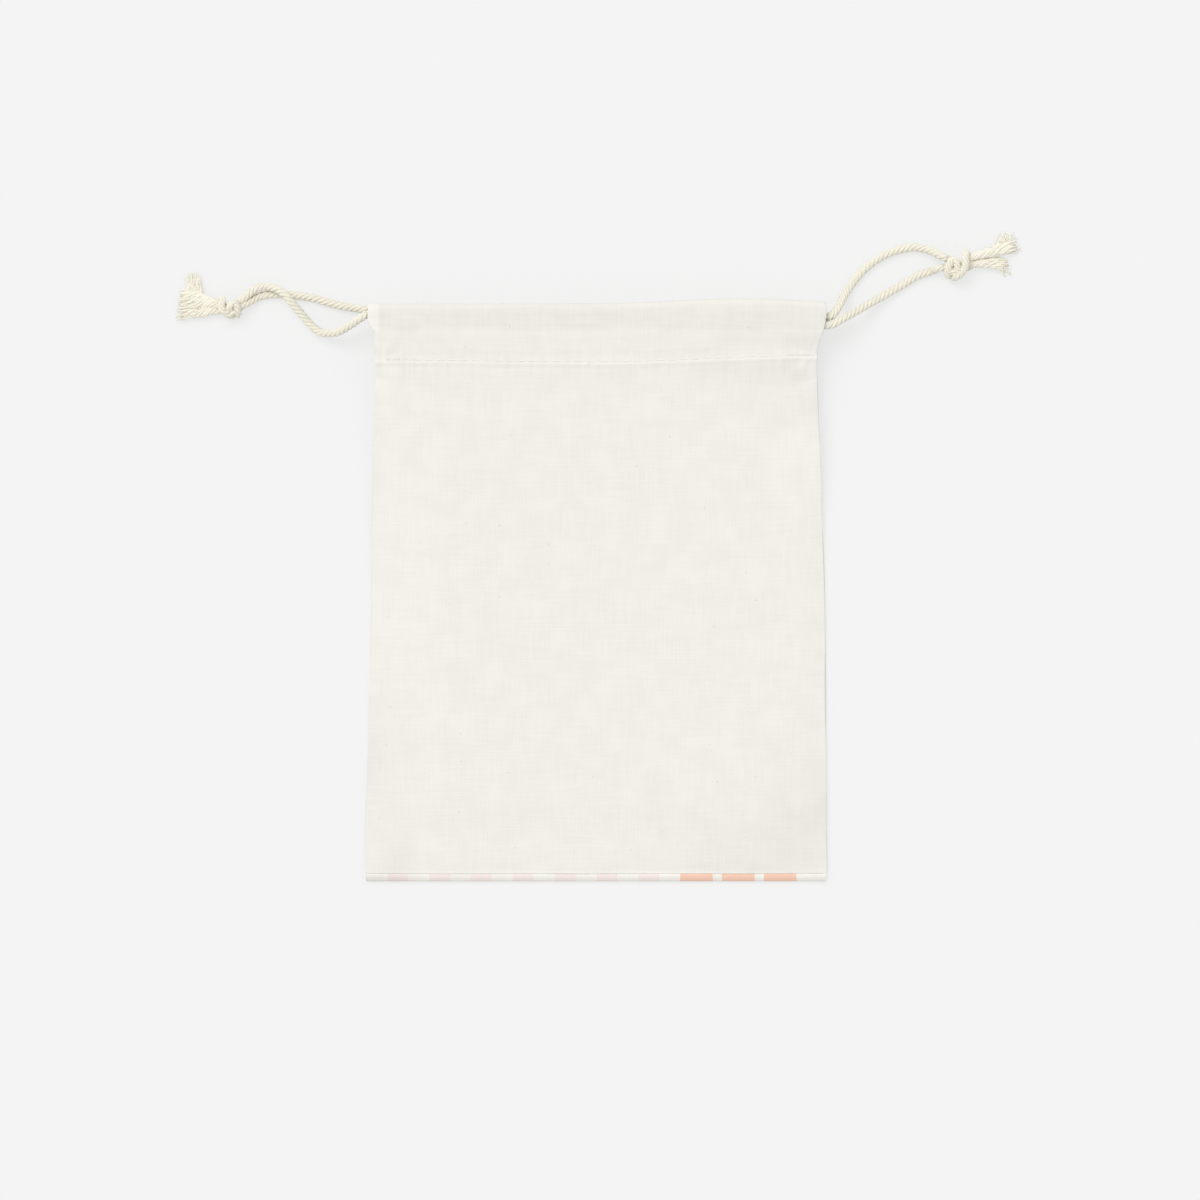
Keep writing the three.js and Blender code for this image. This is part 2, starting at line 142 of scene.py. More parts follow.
def waves(
    x: Array, y: Array, seed: int, longest: float, shortest: float, stretch: float = 1.0
) -> Array:
    """Gentle irregular waves of height about -1 to 1.

    Sum of plane sine waves, each with a seeded direction, phase and length between the two
    limits, its height in proportion to its length.

    Args:
        x: places across the pouch.
        y: places along the pouch.
        seed: number that fixes the pattern.
        longest: longest wave.
        shortest: shortest wave.
        stretch: how many times longer the waves run along Y than across.

    Returns:
        Height at each place.
    """
    rng = np.random.default_rng(seed)
    length = np.geomspace(longest, shortest, WAVES_IN_SUM)
    angle = rng.uniform(0, 2 * np.pi, WAVES_IN_SUM)
    phase = rng.uniform(0, 2 * np.pi, WAVES_IN_SUM)
    weight = length / length.sum() * WAVE_HEIGHT
    turn = 2 * np.pi / length
    along = x[..., None] * np.cos(angle) * turn + y[..., None] / stretch * np.sin(angle) * turn
    return (weight * np.sin(along + phase)).sum(-1)


def even_steps(line: Array, step: float) -> Array:
    """Points at even distances along a line of points, about one step apart."""
    run = distance_along(line)
    places = np.linspace(0, run[-1], max(2, round(run[-1] / step) + 1))
    return columns_at(places, run, line)


def curve_through(points: Array, step: float) -> tuple[Array, Array]:
    """Smooth curve through points, in even steps, and where the points are on it.

    Cubic Hermite pieces on a parameter that grows with the square root of each chord. The slope
    at a point is the mean of the slopes on its two sides, each weighted by the other's chord.

    Args:
        points: points to pass through, one a row.
        step: distance between the points that come back.

    Returns:
        Points along the curve, and the number of the one nearest to each given point.
    """
    p = np.asarray(points, float)
    chord = np.sqrt(np.linalg.norm(np.diff(p, axis=0), axis=1))
    knots = np.concatenate([[0.0], np.cumsum(chord)])
    slope = np.diff(p, axis=0) / chord[:, None]
    before, after = chord[:-1, None], chord[1:, None]
    inner = (slope[:-1] * after + slope[1:] * before) / (before + after)
    tangent = np.vstack([slope[:1], inner, slope[-1:]])
    fine = np.linspace(0, knots[-1], CURVE_DETAIL * len(p))
    i = np.clip(np.searchsorted(knots, fine, side="right") - 1, 0, len(p) - 2)
    w = ((fine - knots[i]) / chord[i])[:, None]
    h = chord[i][:, None]
    start = (1 + 2 * w) * (1 - w) ** 2 * p[i] + w * (1 - w) ** 2 * h * tangent[i]
    end = w**2 * (3 - 2 * w) * p[i + 1] + w**2 * (w - 1) * h * tangent[i + 1]
    dense = start + end
    curve = even_steps(dense, step)
    run = distance_along(dense)
    places = np.interp(knots, fine, run) / run[-1] * (len(curve) - 1)
    return curve, np.round(places).astype(int)


# ---- surfaces and meshes


@dataclass
class Surface:
    """Closed surface in millimetres, as points and blocks of faces of equal corner count."""

    points: Array
    faces: list[Array]
    uv: list[Array]
    finish: list[Array] = field(default_factory=list)
    rounded: list[Array] = field(default_factory=list)
    marks: dict[str, Array] = field(default_factory=dict)

    def __post_init__(self) -> None:
        """Fills in the first finish and smooth shading where none are given."""
        if not self.finish:
            self.finish = [np.zeros(len(block), int) for block in self.faces]
        if not self.rounded:
            self.rounded = [np.ones(len(block), bool) for block in self.faces]

    @staticmethod
    def joined(parts: list["Surface"]) -> "Surface":
        """One surface that holds all the parts, none of them with marks."""
        shift = np.cumsum([0] + [len(part.points) for part in parts[:-1]])
        return Surface(
            np.vstack([part.points for part in parts]),
            [block + by for part, by in zip(parts, shift) for block in part.faces],
            [block for part in parts for block in part.uv],
            [block for part in parts for block in part.finish],
            [block for part in parts for block in part.rounded],
        )

    def to_object(self, name: str, materials: list[Material]) -> bpy.types.Object:
        """Makes the mesh object, in metres, at the origin.

        Args:
            name: the piece's name.
            materials: its finishes, in the order of the finish numbers.

        Returns:
            The object, linked to the scene.
        """
        mesh = bpy.data.meshes.new(name)
        sides = np.concatenate([np.full(len(block), block.shape[1]) for block in self.faces])
        corners = np.concatenate([block.ravel() for block in self.faces])
        mesh.vertices.add(len(self.points))
        mesh.vertices.foreach_set("co", (self.points * MM).ravel())
        mesh.loops.add(len(corners))
        mesh.loops.foreach_set("vertex_index", corners.astype(np.int32))
        mesh.polygons.add(len(sides))
        mesh.polygons.foreach_set("loop_start", (np.cumsum(sides) - sides).astype(np.int32))
        mesh.polygons.foreach_set("material_index", np.concatenate(self.finish).astype(np.int32))
        mesh.polygons.foreach_set("use_smooth", np.concatenate(self.rounded))
        mesh.update(calc_edges=True)
        layer = mesh.uv_layers.new(name="lay")
        flat = np.concatenate([block.reshape(-1, 2) for block in self.uv]) * MM
        layer.data.foreach_set("uv", flat.ravel())
        for mark, values in self.marks.items():
            attribute = mesh.attributes.new(mark, "FLOAT", "POINT")
            attribute.data.foreach_set("value", values.astype(np.float32))
        edge_of = np.empty(len(corners), np.int32)
        mesh.loops.foreach_get("edge_index", edge_of)
        flat_side = np.repeat(~np.concatenate(self.rounded), sides)
        sharp = np.bincount(edge_of, weights=flat_side, minlength=len(mesh.edges)) > 0
        mesh.attributes.new("sharp_edge", "BOOLEAN", "EDGE").data.foreach_set("value", sharp)
        for material in materials:
            mesh.materials.append(material)
        made = bpy.data.objects.new(name, mesh)
        bpy.context.scene.collection.objects.link(made)
        return made


def tube_surface(rings: Array, run: Array) -> Surface:
    """Closed tubes round rings of points, with a fan of triangles over each end.

    Args:
        rings: points, indexed by tube, step, place round the ring and axis. Each ring turns
            anticlockwise as seen against its tube's direction.
        run: distance of each step along its tube, indexed by tube and step.

    Returns:
        The surface. UV is (share of a turn in metres, distance along the tube).
    """
    tubes, steps, sides, _ = rings.shape
    number = np.arange(tubes * steps * sides).reshape(tubes, steps, sides)
    after = np.roll(number, -1, axis=2)
    quads = np.stack([number[:, :-1], after[:, :-1], after[:, 1:], number[:, 1:]], axis=-1)
    turn = np.arange(sides) / sides / MM
    left = np.broadcast_to(turn, (tubes, steps - 1, sides))
    right = left + 1 / sides / MM
    low = np.broadcast_to(run[:, :-1, None], left.shape)
    high = np.broadcast_to(run[:, 1:, None], left.shape)
    quad_uv = np.stack([left, low, right, low, right, high, left, high], axis=-1)
    first = tubes * steps * sides + np.arange(tubes)
    last = first + tubes

    def fan(tips: Array, here: Array, beyond: Array) -> Array:
        """Triangles between each tube's tip and the sides of its ring."""
        tips = np.broadcast_to(tips[:, None], (tubes, sides))
        return np.stack([tips, here, beyond], axis=-1).reshape(-1, 3)

    start, end = fan(first, after[:, 0], number[:, 0]), fan(last, number[:, -1], after[:, -1])
    fans = np.concatenate([start, end])
    reach = np.concatenate([np.repeat(run[:, 0], sides), np.repeat(run[:, -1], sides)])
    fan_uv = np.repeat(np.stack([np.zeros_like(reach), reach], axis=-1)[:, None], 3, axis=1)
    centres = np.concatenate([rings[:, 0].mean(axis=1), rings[:, -1].mean(axis=1)])
    return Surface(
        np.concatenate([rings.reshape(-1, 3), centres]),
        [quads.reshape(-1, 4), fans],
        [quad_uv.reshape(-1, 4, 2), fan_uv],
    )


def round_tubes(lines: Array, radius: Array, sides: int) -> Surface:
    """Round tubes along lines, with the ring's first point on the side that faces up.

    Args:
        lines: centre lines, indexed by tube, step and axis.
        radius: radius at each tube and step.
        sides: points round a ring.

    Returns:
        The closed tubes as one surface.
    """
    along = unit(np.gradient(lines, axis=1))
    up = np.zeros_like(along)
    up[..., 2] = 1.0
    up[np.abs(along[..., 2]) > 0.95] = (1.0, 0.0, 0.0)
    normal = unit(up - (up * along).sum(-1, keepdims=True) * along)
    side = np.cross(along, normal)
    angle = ring_angles(sides)[:, None]
    ring = normal[:, :, None] * np.cos(angle) + side[:, :, None] * np.sin(angle)
    return tube_surface(lines[:, :, None] + ring * radius[..., None, None], distance_along(lines))


def cloth_shell(
    middle: Array, normal: Array, thick: float, kept: Flags, uv: Array, turned: bool
) -> Surface:
    """Gives a sheet of cloth its thickness, half to each side of its middle, and closes its edges.

    Args:
        middle: points of the sheet on a grid of rows and columns.
        normal: direction of the cloth's outside at each point.
        thick: thickness of the cloth.
        kept: which cells of the grid hold cloth.
        uv: place of each point in the flat cloth.
        turned: whether rows and columns turn clockwise as seen from the outside.

    Returns:
        The closed sheet. The outside has finish 0, the inside and the cut edges have finish 1.
    """
    rows, columns, _ = middle.shape
    outer = np.arange(rows * columns).reshape(rows, columns)
    cell = [outer[:-1, :-1], outer[:-1, 1:], outer[1:, 1:], outer[1:, :-1]]
    outside = np.stack(cell, axis=-1)[kept]
    inside = outside[:, ::-1] + rows * columns
    edge = np.pad(kept, 1)
    below, above = edge[:-1, 1:-1], edge[1:, 1:-1]
    left, right = edge[1:-1, :-1], edge[1:-1, 1:]

    def wall(a: Array, b: Array, where: Flags) -> Array:
        """Wall from the outer edge a to b down to the inner one, where the flags say."""
        return np.stack([a, b, b + rows * columns, a + rows * columns], axis=-1)[where]

    walls = np.concatenate([
        wall(outer[:, 1:], outer[:, :-1], above & ~below),
        wall(outer[:, :-1], outer[:, 1:], below & ~above),
        wall(outer[:-1, :], outer[1:, :], right & ~left),
        wall(outer[1:, :], outer[:-1, :], left & ~right),
    ])
    blocks = [outside, inside, walls]
    if turned:
        blocks = [block[:, ::-1] for block in blocks]
    half = normal * thick / 2
    points = np.concatenate([middle + half, middle - half]).reshape(-1, 3)
    flat = np.concatenate([uv, uv]).reshape(-1, 2)
    corners = np.concatenate([block.ravel() for block in blocks])
    used, fresh = np.unique(corners, return_inverse=True)
    counts = np.cumsum([block.size for block in blocks])[:-1]
    renumbered = [part.reshape(-1, 4) for part in np.split(fresh.ravel(), counts)]
    return Surface(
        points[used],
        renumbered,
        [flat[block] for block in blocks],
        [np.full(len(outside), 0), np.full(len(inside), 1), np.full(len(walls), 1)],
        [np.ones(len(outside), bool), np.ones(len(inside), bool), np.zeros(len(walls), bool)],
        {"grid_place": used.astype(float)},
    )


# ---- finishes


class Graph:
    """Node tree that is filled in by short calls."""

    def __init__(self, tree: bpy.types.NodeTree) -> None:
        """Keeps the tree that the calls add to."""
        self.tree = tree

    def feed(self, node: Node, inputs: dict) -> None:
        """Links sockets to a node's inputs, or sets plain values there, by name or number."""
        for key, value in inputs.items():
            if isinstance(value, Socket):
                self.tree.links.new(value, node.inputs[key])
            else:
                node.inputs[key].default_value = value

    def add(self, kind: str, inputs: dict | None = None, **settings: object) -> Node:
        """Adds a node.

        Args:
            kind: the node's type, without its ShaderNode prefix.
            inputs: values or outgoing sockets for its inputs, by name or number.
            settings: properties of the node.

        Returns:
            The node.
        """
        node = self.tree.nodes.new("ShaderNode" + kind)
        for name, value in settings.items():
            setattr(node, name, value)
        self.feed(node, inputs or {})
        return node

    def math(self, operation: str, *values: Socket | float) -> Socket:
        """Adds a Math node and returns its value."""
        return self.add("Math", dict(enumerate(values)), operation=operation).outputs[0]

    def times(self, first: Socket | float, *others: Socket | float) -> Socket:
        """Product of values."""
        for other in others:
            first = self.math("MULTIPLY", first, other)
        return first

    def plus(self, first: Socket | float, *others: Socket | float) -> Socket:
        """Sum of values."""
        for other in others:
            first = self.math("ADD", first, other)
        return first

    def over(self, value: Socket, limit: Socket | float) -> Socket:
        """1 where a value is greater than a limit, else 0."""
        return self.math("GREATER_THAN", value, limit)

    def under(self, value: Socket, limit: Socket | float) -> Socket:
        """1 where a value is less than a limit, else 0."""
        return self.math("LESS_THAN", value, limit)

    def span(
        self, value: Socket, given: Pair, result: Pair = (0.0, 1.0)
    ) -> Socket:
        """Value eased from one range to another."""
        names = ("Value", "From Min", "From Max", "To Min", "To Max")
        inputs = dict(zip(names, (value, *given, *result)))
        return self.add("MapRange", inputs, interpolation_type="SMOOTHSTEP").outputs["Result"]

    def tint(
        self, share: Socket | float, base: Socket | Colour, top: Socket | Colour, blend: str = "MIX"
    ) -> Socket:
        """Colour with a share of another laid over it."""
        inputs = {0: share, 6: base, 7: top}
        return self.add("Mix", inputs, data_type="RGBA", blend_type=blend).outputs[2]

    def noise(self, place: Socket, scale: float, detail: float) -> Socket:
        """Value of a Noise texture, about 0.5."""
        inputs = {"Vector": place, "Scale": scale, "Detail": detail}
        return self.add("TexNoise", inputs).outputs[0]

    def split(self, vector: Socket) -> list[Socket]:
        """X and Y of a vector."""
        return list(self.add("SeparateXYZ", {0: vector}).outputs)[:2]

    def mark(self, name: str) -> Socket:
        """Value that the mesh carries under a name."""
        return self.add("Attribute", attribute_name=name, attribute_type="GEOMETRY").outputs["Fac"]

    def relief(self, height: Socket, distance: float, strength: float) -> Socket:
        """Normal of a surface with a height, by a Bump node."""
        inputs = {"Height": height, "Distance": distance, "Strength": strength}
        return self.add("Bump", inputs).outputs[0]

    def backdrop_rays(self) -> Socket:
        """1 for camera, glossy and transmission rays, which see the plain backdrop."""
        rays = self.add("LightPath").outputs
        seen = self.math("MAXIMUM", rays["Is Camera Ray"], rays["Is Glossy Ray"])
        return self.math("MAXIMUM", seen, rays["Is Transmission Ray"])


def new_group(
    name: str, inputs: dict[str, str], outputs: list[str]
) -> tuple[Graph, bpy.types.NodeOutputs, Node]:
    """Starts a shader node group.

    Args:
        name: the group's name.
        inputs: socket kind, Float or Vector, by input name.
        outputs: names of its outputs, all plain values.

    Returns:
        Its graph, the sockets of its input node, and its output node.
    """
    tree = bpy.data.node_groups.new(name, "ShaderNodeTree")
    for label, kind in inputs.items():
        tree.interface.new_socket(label, in_out="INPUT", socket_type="NodeSocket" + kind)
    for label in outputs:
        tree.interface.new_socket(label, in_out="OUTPUT", socket_type="NodeSocketFloat")
    given = tree.nodes.new("NodeGroupInput")
    return Graph(tree), given.outputs, tree.nodes.new("NodeGroupOutput")


def weave_group() -> bpy.types.NodeTree:
    """Plain weave: two sets of round threads that pass over and under, with uneven yarn.

    A thread's height is the absolute sine of its place in pitches. Which set is on top follows
    the product of the two sines. The yarn's tone is noise drawn out along each set.

    Returns:
        Group with the weave's height and the yarn's tone, both about 0 to 1.
    """
    sway_scale, sway_size, yarn_long, yarn_wide = 90.0, 0.0016, 70.0, 1500.0
    sockets = {"Vector": "Vector", "Pitch": "Float"}
    graph, given, result = new_group("Plain Weave", sockets, ["Height", "Tone"])
    sway = graph.times(graph.noise(given["Vector"], sway_scale, 1.0), sway_size)
    swings = []
    for place in graph.split(given["Vector"]):
        turn = graph.math("DIVIDE", graph.plus(place, sway), given["Pitch"])
        swings.append(graph.math("SINE", graph.times(turn, np.pi)))
    warp, weft = [graph.math("ABSOLUTE", swing) for swing in swings]
    over = graph.math("MULTIPLY_ADD", graph.times(*swings), 0.5, 0.5)
    under = graph.math("SUBTRACT", 1.0, over)
    yarns = []
    for stretch in ((yarn_long, yarn_wide, 1.0), (yarn_wide, yarn_long, 1.0)):
        drawn = graph.add("VectorMath", {0: given["Vector"], 1: stretch}, operation="MULTIPLY")
        yarns.append(graph.noise(drawn.outputs[0], 1.0, 2.0))
    graph.feed(result, {
        "Height": graph.plus(graph.times(warp, over), graph.times(weft, under)),
        "Tone": graph.times(graph.plus(*yarns), 0.5),
    })
    return graph.tree


def fleck_group() -> bpy.types.NodeTree:
    """Seed flecks: a few small specks, one in some of the cells of a loose scatter.

    Returns:
        Group with a mask that is 1 on a speck.
    """
    edge_scale, empty_cells = 900.0, 0.6
    sockets = {"Vector": "Vector", "Cell": "Float", "Size": "Float"}
    graph, given, result = new_group("Seed Flecks", sockets, ["Mask"])
    scale = graph.math("DIVIDE", 1.0, given["Cell"])
    inputs = {"Vector": given["Vector"], "Scale": scale, "Randomness": 1.0}
    cells = graph.add("TexVoronoi", inputs, voronoi_dimensions="2D").outputs
    wobble = graph.span(graph.noise(given["Vector"], edge_scale, 2.0), (0.3, 0.7), (0.4, 1.6))
    speck = graph.under(cells["Distance"], graph.times(given["Size"], wobble))
    chosen = graph.add("SeparateColor", {0: cells["Color"]}).outputs[0]
    graph.feed(result, {"Mask": graph.times(speck, graph.over(chosen, empty_cells))})
    return graph.tree


def print_group() -> bpy.types.NodeTree:
    """Plain printed pattern: a row of even blocks and a lattice of dots.

    A block is where the distance across, in periods, has a fraction under the block's share. A
    dot is where the distance to the nearest point of a lattice, whose odd rows are moved by half
    a space, is under the dot's radius.

    Returns:
        Group with masks for the blocks and for the dots, and a value from 0 to 1 that picks a
        dot's colour.
    """
    row_weight, pick_step = 1.7, 0.37
    sizes = dict.fromkeys(("Period", "Share", "Space", "Radius"), "Float")
    outputs = ["Block", "Dot", "Pick"]
    graph, given, result = new_group("Block And Dot Print", {"Vector": "Vector", **sizes}, outputs)
    x, y = graph.split(given["Vector"])
    periods = graph.math("DIVIDE", x, given["Period"])
    row = graph.math("DIVIDE", y, given["Space"])
    whole_row = graph.math("FLOOR", row)
    odd = graph.over(graph.math("FRACT", graph.times(whole_row, 0.5)), 0.25)
    column = graph.plus(graph.math("DIVIDE", x, given["Space"]), graph.times(odd, 0.5))
    away = [graph.math("SUBTRACT", graph.math("FRACT", place), 0.5) for place in (column, row)]
    squares = [graph.times(part, part) for part in away]
    distance = graph.times(graph.math("SQRT", graph.plus(*squares)), given["Space"])
    cell = graph.plus(graph.math("FLOOR", column), graph.times(whole_row, row_weight))
    graph.feed(result, {
        "Block": graph.under(graph.math("FRACT", periods), given["Share"]),
        "Dot": graph.under(distance, given["Radius"]),
        "Pick": graph.math("FRACT", graph.times(cell, pick_step)),
    })
    return graph.tree


def fibre_group() -> bpy.types.NodeTree:
    """Fibres of a twisted ply: fine ridges that run a little across the ply, with loose tone.

    A ridge is the absolute sine of the turns round the ply times the ridges, plus the distance
    along it times the lean, plus a stray.

    Returns:
        Group with the fibres' height and tone, both about 0 to 1.
    """
    stray_scale, stray_size, fuzz_scale, fuzz_size = 700.0, 1.6, 2600.0, 0.5
    sockets = {"Vector": "Vector", "Place": "Vector", "Ridges": "Float", "Lean": "Float"}
    graph, given, result = new_group("Ply Fibres", sockets, ["Height", "Tone"])
    turn, along = graph.split(given["Vector"])
    stray = graph.noise(given["Place"], stray_scale, 2.0)
    laid = graph.plus(graph.times(turn, given["Ridges"]), graph.times(along, given["Lean"]))
    phase = graph.plus(laid, graph.times(stray, stray_size))
    ridge = graph.math("ABSOLUTE", graph.math("SINE", graph.times(phase, np.pi)))
    fuzz = graph.noise(given["Place"], fuzz_scale, 3.0)
    height = graph.math("MULTIPLY_ADD", fuzz, fuzz_size, ridge)
    graph.feed(result, {"Height": height, "Tone": stray})
    return graph.tree


class Groups:
    """The shader node groups that the finishes share, each made once."""

    def __init__(self) -> None:
        """Makes the groups."""
        self.weave = weave_group()
        self.flecks = fleck_group()
        self.printing = print_group()
        self.fibres = fibre_group()


def new_material(name: str) -> tuple[Graph, Material, Node]:
    """Starts a material with only its Principled shader and output.

    Args:
        name: the material's name.

    Returns:
        Its graph, the material and its shader node.
    """
    material = bpy.data.materials.new(name)
    material.use_nodes = True
    material.node_tree.nodes.clear()
    graph = Graph(material.node_tree)
    shader = graph.add("BsdfPrincipled")
    graph.add("OutputMaterial", {"Surface": shader.outputs[0]})
    return graph, material, shader


@dataclass(frozen=True)
class Print:
    """Generic print in pale inks: blocks in a band by the bottom edge and dots in rows above it.

    Lengths are metres in the flat cloth. The blocks change to the warm ink, and get wider, past
    one place across.
    """

    rose: Colour = (0.765, 0.672, 0.645, 1.0)
    peach: Colour = (0.78, 0.50, 0.38, 1.0)
    mint: Colour = (0.56, 0.70, 0.67, 1.0)
    lilac: Colour = (0.66, 0.63, 0.75, 1.0)
    period: float = 0.0145
    share: float = 0.5
    warm_share: float = 0.28
    warm_from: float = 0.028
    block_end: float = 0.0721
    band: float = 0.0105
    dots_from: float = 0.0215
    space: float = 0.022
    radius: float = 0.0021
    cover: Pair = (0.72, 0.95)
    lilac_from: float = 0.34
    peach_from: float = 0.67

    def over_cloth(
        self, graph: Graph, group: bpy.types.NodeTree, place: Socket, cloth: Socket, weave: Socket
    ) -> Socket:
        """Lays the blocks and dots over the cloth's colour.

        Args:
            graph: the material's graph.
            group: the group of the printed pattern.
            place: place in the flat cloth.
            cloth: colour of the bare cloth.
            weave: height of the weave, into whose hollows less ink goes.

        Returns:
            The colour with its print.
        """
        across, up = graph.split(place)
        warm = graph.over(across, self.warm_from)
        ink = graph.add("Group", {
            "Vector": place,
            "Period": self.period,
            "Share": graph.math("MULTIPLY_ADD", warm, self.warm_share, self.share),
            "Space": self.space,
            "Radius": self.radius,
        }, node_tree=group).outputs
        cover = graph.span(weave, (0.0, 0.5), self.cover)
        in_band = graph.times(graph.under(up, self.band), graph.under(across, self.block_end))
        blocks = graph.times(ink["Block"], in_band, cover)
        colour = graph.tint(blocks, cloth, graph.tint(warm, self.rose, self.peach))
        dots = graph.times(ink["Dot"], graph.over(up, self.dots_from), cover)
        dye = graph.tint(graph.over(ink["Pick"], self.lilac_from), self.mint, self.lilac)
        dye = graph.tint(graph.over(ink["Pick"], self.peach_from), dye, self.peach)
        return graph.tint(dots, colour, dye)


@dataclass(frozen=True)
class ClothFinish:
    """Unbleached cotton sheeting, plain or printed."""

    name: str
    groups: Groups
    printing: Print | None = None
    colour: Colour = (0.776, 0.758, 0.709, 1.0)
    shade: Colour = (0.744, 0.725, 0.676, 1.0)
    fleck: Colour = (0.50, 0.40, 0.28, 1.0)
    # Painted shade in the needle holes.
    hole: Colour = (0.46, 0.42, 0.35, 1.0)
    pitch: float = 0.00052
    weave_share: float = 0.6
    blotch_scale: float = 120.0
    tones: Pair = (0.38, 0.62)
    fleck_cell: float = 0.014
    fleck_size: float = 0.018
    fleck_strength: float = 0.25
    yarn_relief: float = 1.4
    relief_depth: float = 0.00005
    relief_strength: float = 0.35
    roughness: Pair = (0.89, 0.98)
    sheen: float = 0.08
    sheen_roughness: float = 0.5
    specular: float = 0.18

    def build(self) -> Material:
        """Makes the material.

        Returns:
            Cotton with weave, uneven yarn, seed flecks, painted shade in its needle holes, its own
            uneven tone and the painted light and shade of the tone mark, and with blocks and dots
            where it is printed.
        """
        graph, material, shader = new_material(self.name)
        lay = graph.add("UVMap", uv_map="lay").outputs[0]
        inputs = {"Vector": lay, "Pitch": self.pitch}
        weave = graph.add("Group", inputs, node_tree=self.groups.weave).outputs
        blotch = graph.times(graph.noise(lay, self.blotch_scale, 4.0), 1 - self.weave_share)
        tone = graph.plus(graph.times(weave["Tone"], self.weave_share), blotch)
        colour = graph.tint(graph.span(tone, self.tones), self.shade, self.colour)
        if self.printing:
            colour = self.printing.over_cloth(
                graph, self.groups.printing, lay, colour, weave["Height"]
            )
        inputs = {"Vector": lay, "Cell": self.fleck_cell, "Size": self.fleck_size}
        flecks = graph.add("Group", inputs, node_tree=self.groups.flecks).outputs["Mask"]
        colour = graph.tint(graph.times(flecks, self.fleck_strength), colour, self.fleck)
        # Painted shade in the needle holes, by the needle_hole mark.
        colour = graph.tint(graph.mark("needle_hole"), colour, self.hole)
        height = graph.plus(weave["Height"], graph.times(weave["Tone"], self.yarn_relief))
        # The tone mark multiplies painted light and shade into the colour.
        graph.feed(shader, {
            "Base Color": graph.tint(1.0, colour, graph.mark("tone"), "MULTIPLY"),
            "Normal": graph.relief(height, self.relief_depth, self.relief_strength),
            "Roughness": graph.span(weave["Tone"], (0.3, 0.7), self.roughness),
            "Sheen Weight": self.sheen,
            "Sheen Roughness": self.sheen_roughness,
            "Specular IOR Level": self.specular,
        })
        return material


@dataclass(frozen=True)
class YarnFinish:
    """Twisted cotton: the cords' plies, or sewing thread."""

    name: str
    groups: Groups
    colour: Colour
    shade: Colour
    ridges: float
    lean: float
    depth: float
    strength: float = 0.8
    # Share of painted shade between the fibres' ridges.
    height_share: float = 0.35
    stray_share: float = 0.6
    tones: Pair = (0.2, 0.75)
    roughness: Pair = (0.84, 0.96)
    sheen: float = 0.12
    specular: float = 0.2

    def build(self) -> Material:
        """Makes the material.

        Returns:
            Cotton yarn whose fibres follow the piece's own lay, with painted shade between the
            fibres' ridges.
        """
        graph, material, shader = new_material(self.name)
        fibres = graph.add("Group", {
            "Vector": graph.add("UVMap", uv_map="lay").outputs[0],
            "Place": graph.add("TexCoord").outputs["Object"],
            "Ridges": self.ridges,
            "Lean": self.lean,
        }, node_tree=self.groups.fibres).outputs
        stray = graph.times(fibres["Tone"], self.stray_share)
        # Deeper where the fibres' height is low: painted shade between the ridges, plus the stray's
        # random tone.
        tone = graph.math("MULTIPLY_ADD", fibres["Height"], self.height_share, stray)
        graph.feed(shader, {
            "Base Color": graph.tint(graph.span(tone, self.tones), self.shade, self.colour),
            "Normal": graph.relief(fibres["Height"], self.depth, self.strength),
            "Roughness": graph.span(fibres["Tone"], (0.3, 0.7), self.roughness),
            "Sheen Weight": self.sheen,
            "Specular IOR Level": self.specular,
        })
        return material


@dataclass(frozen=True)
class Finishes:
    """The finished materials of all pieces."""

    cloth: Material
    printed: Material
    cord: Material
    fray: Material
    thread: Material

    @staticmethod
    def make() -> "Finishes":
        """Makes every material with the shared groups."""
        groups = Groups()
        yarns = (
            YarnFinish(
                "twisted_cotton_cord", groups, (0.83, 0.80, 0.70, 1.0), (0.74, 0.70, 0.545, 1.0),
                ridges=18.0, lean=900.0, depth=0.00004,
            ),
            YarnFinish(
                "frayed_cotton", groups, (0.86, 0.83, 0.73, 1.0), (0.77, 0.73, 0.585, 1.0),
                ridges=4.0, lean=1500.0, depth=0.00002,
            ),
            YarnFinish(
                "sewing_thread", groups, (0.83, 0.81, 0.75, 1.0), (0.76, 0.74, 0.675, 1.0),
                ridges=3.0, lean=2200.0, depth=0.00002,
            ),
        )
        return Finishes(
            ClothFinish("unbleached_cotton", groups).build(),
            ClothFinish("printed_cotton", groups, Print()).build(),
            *(yarn.build() for yarn in yarns),
        )


# ---- studio


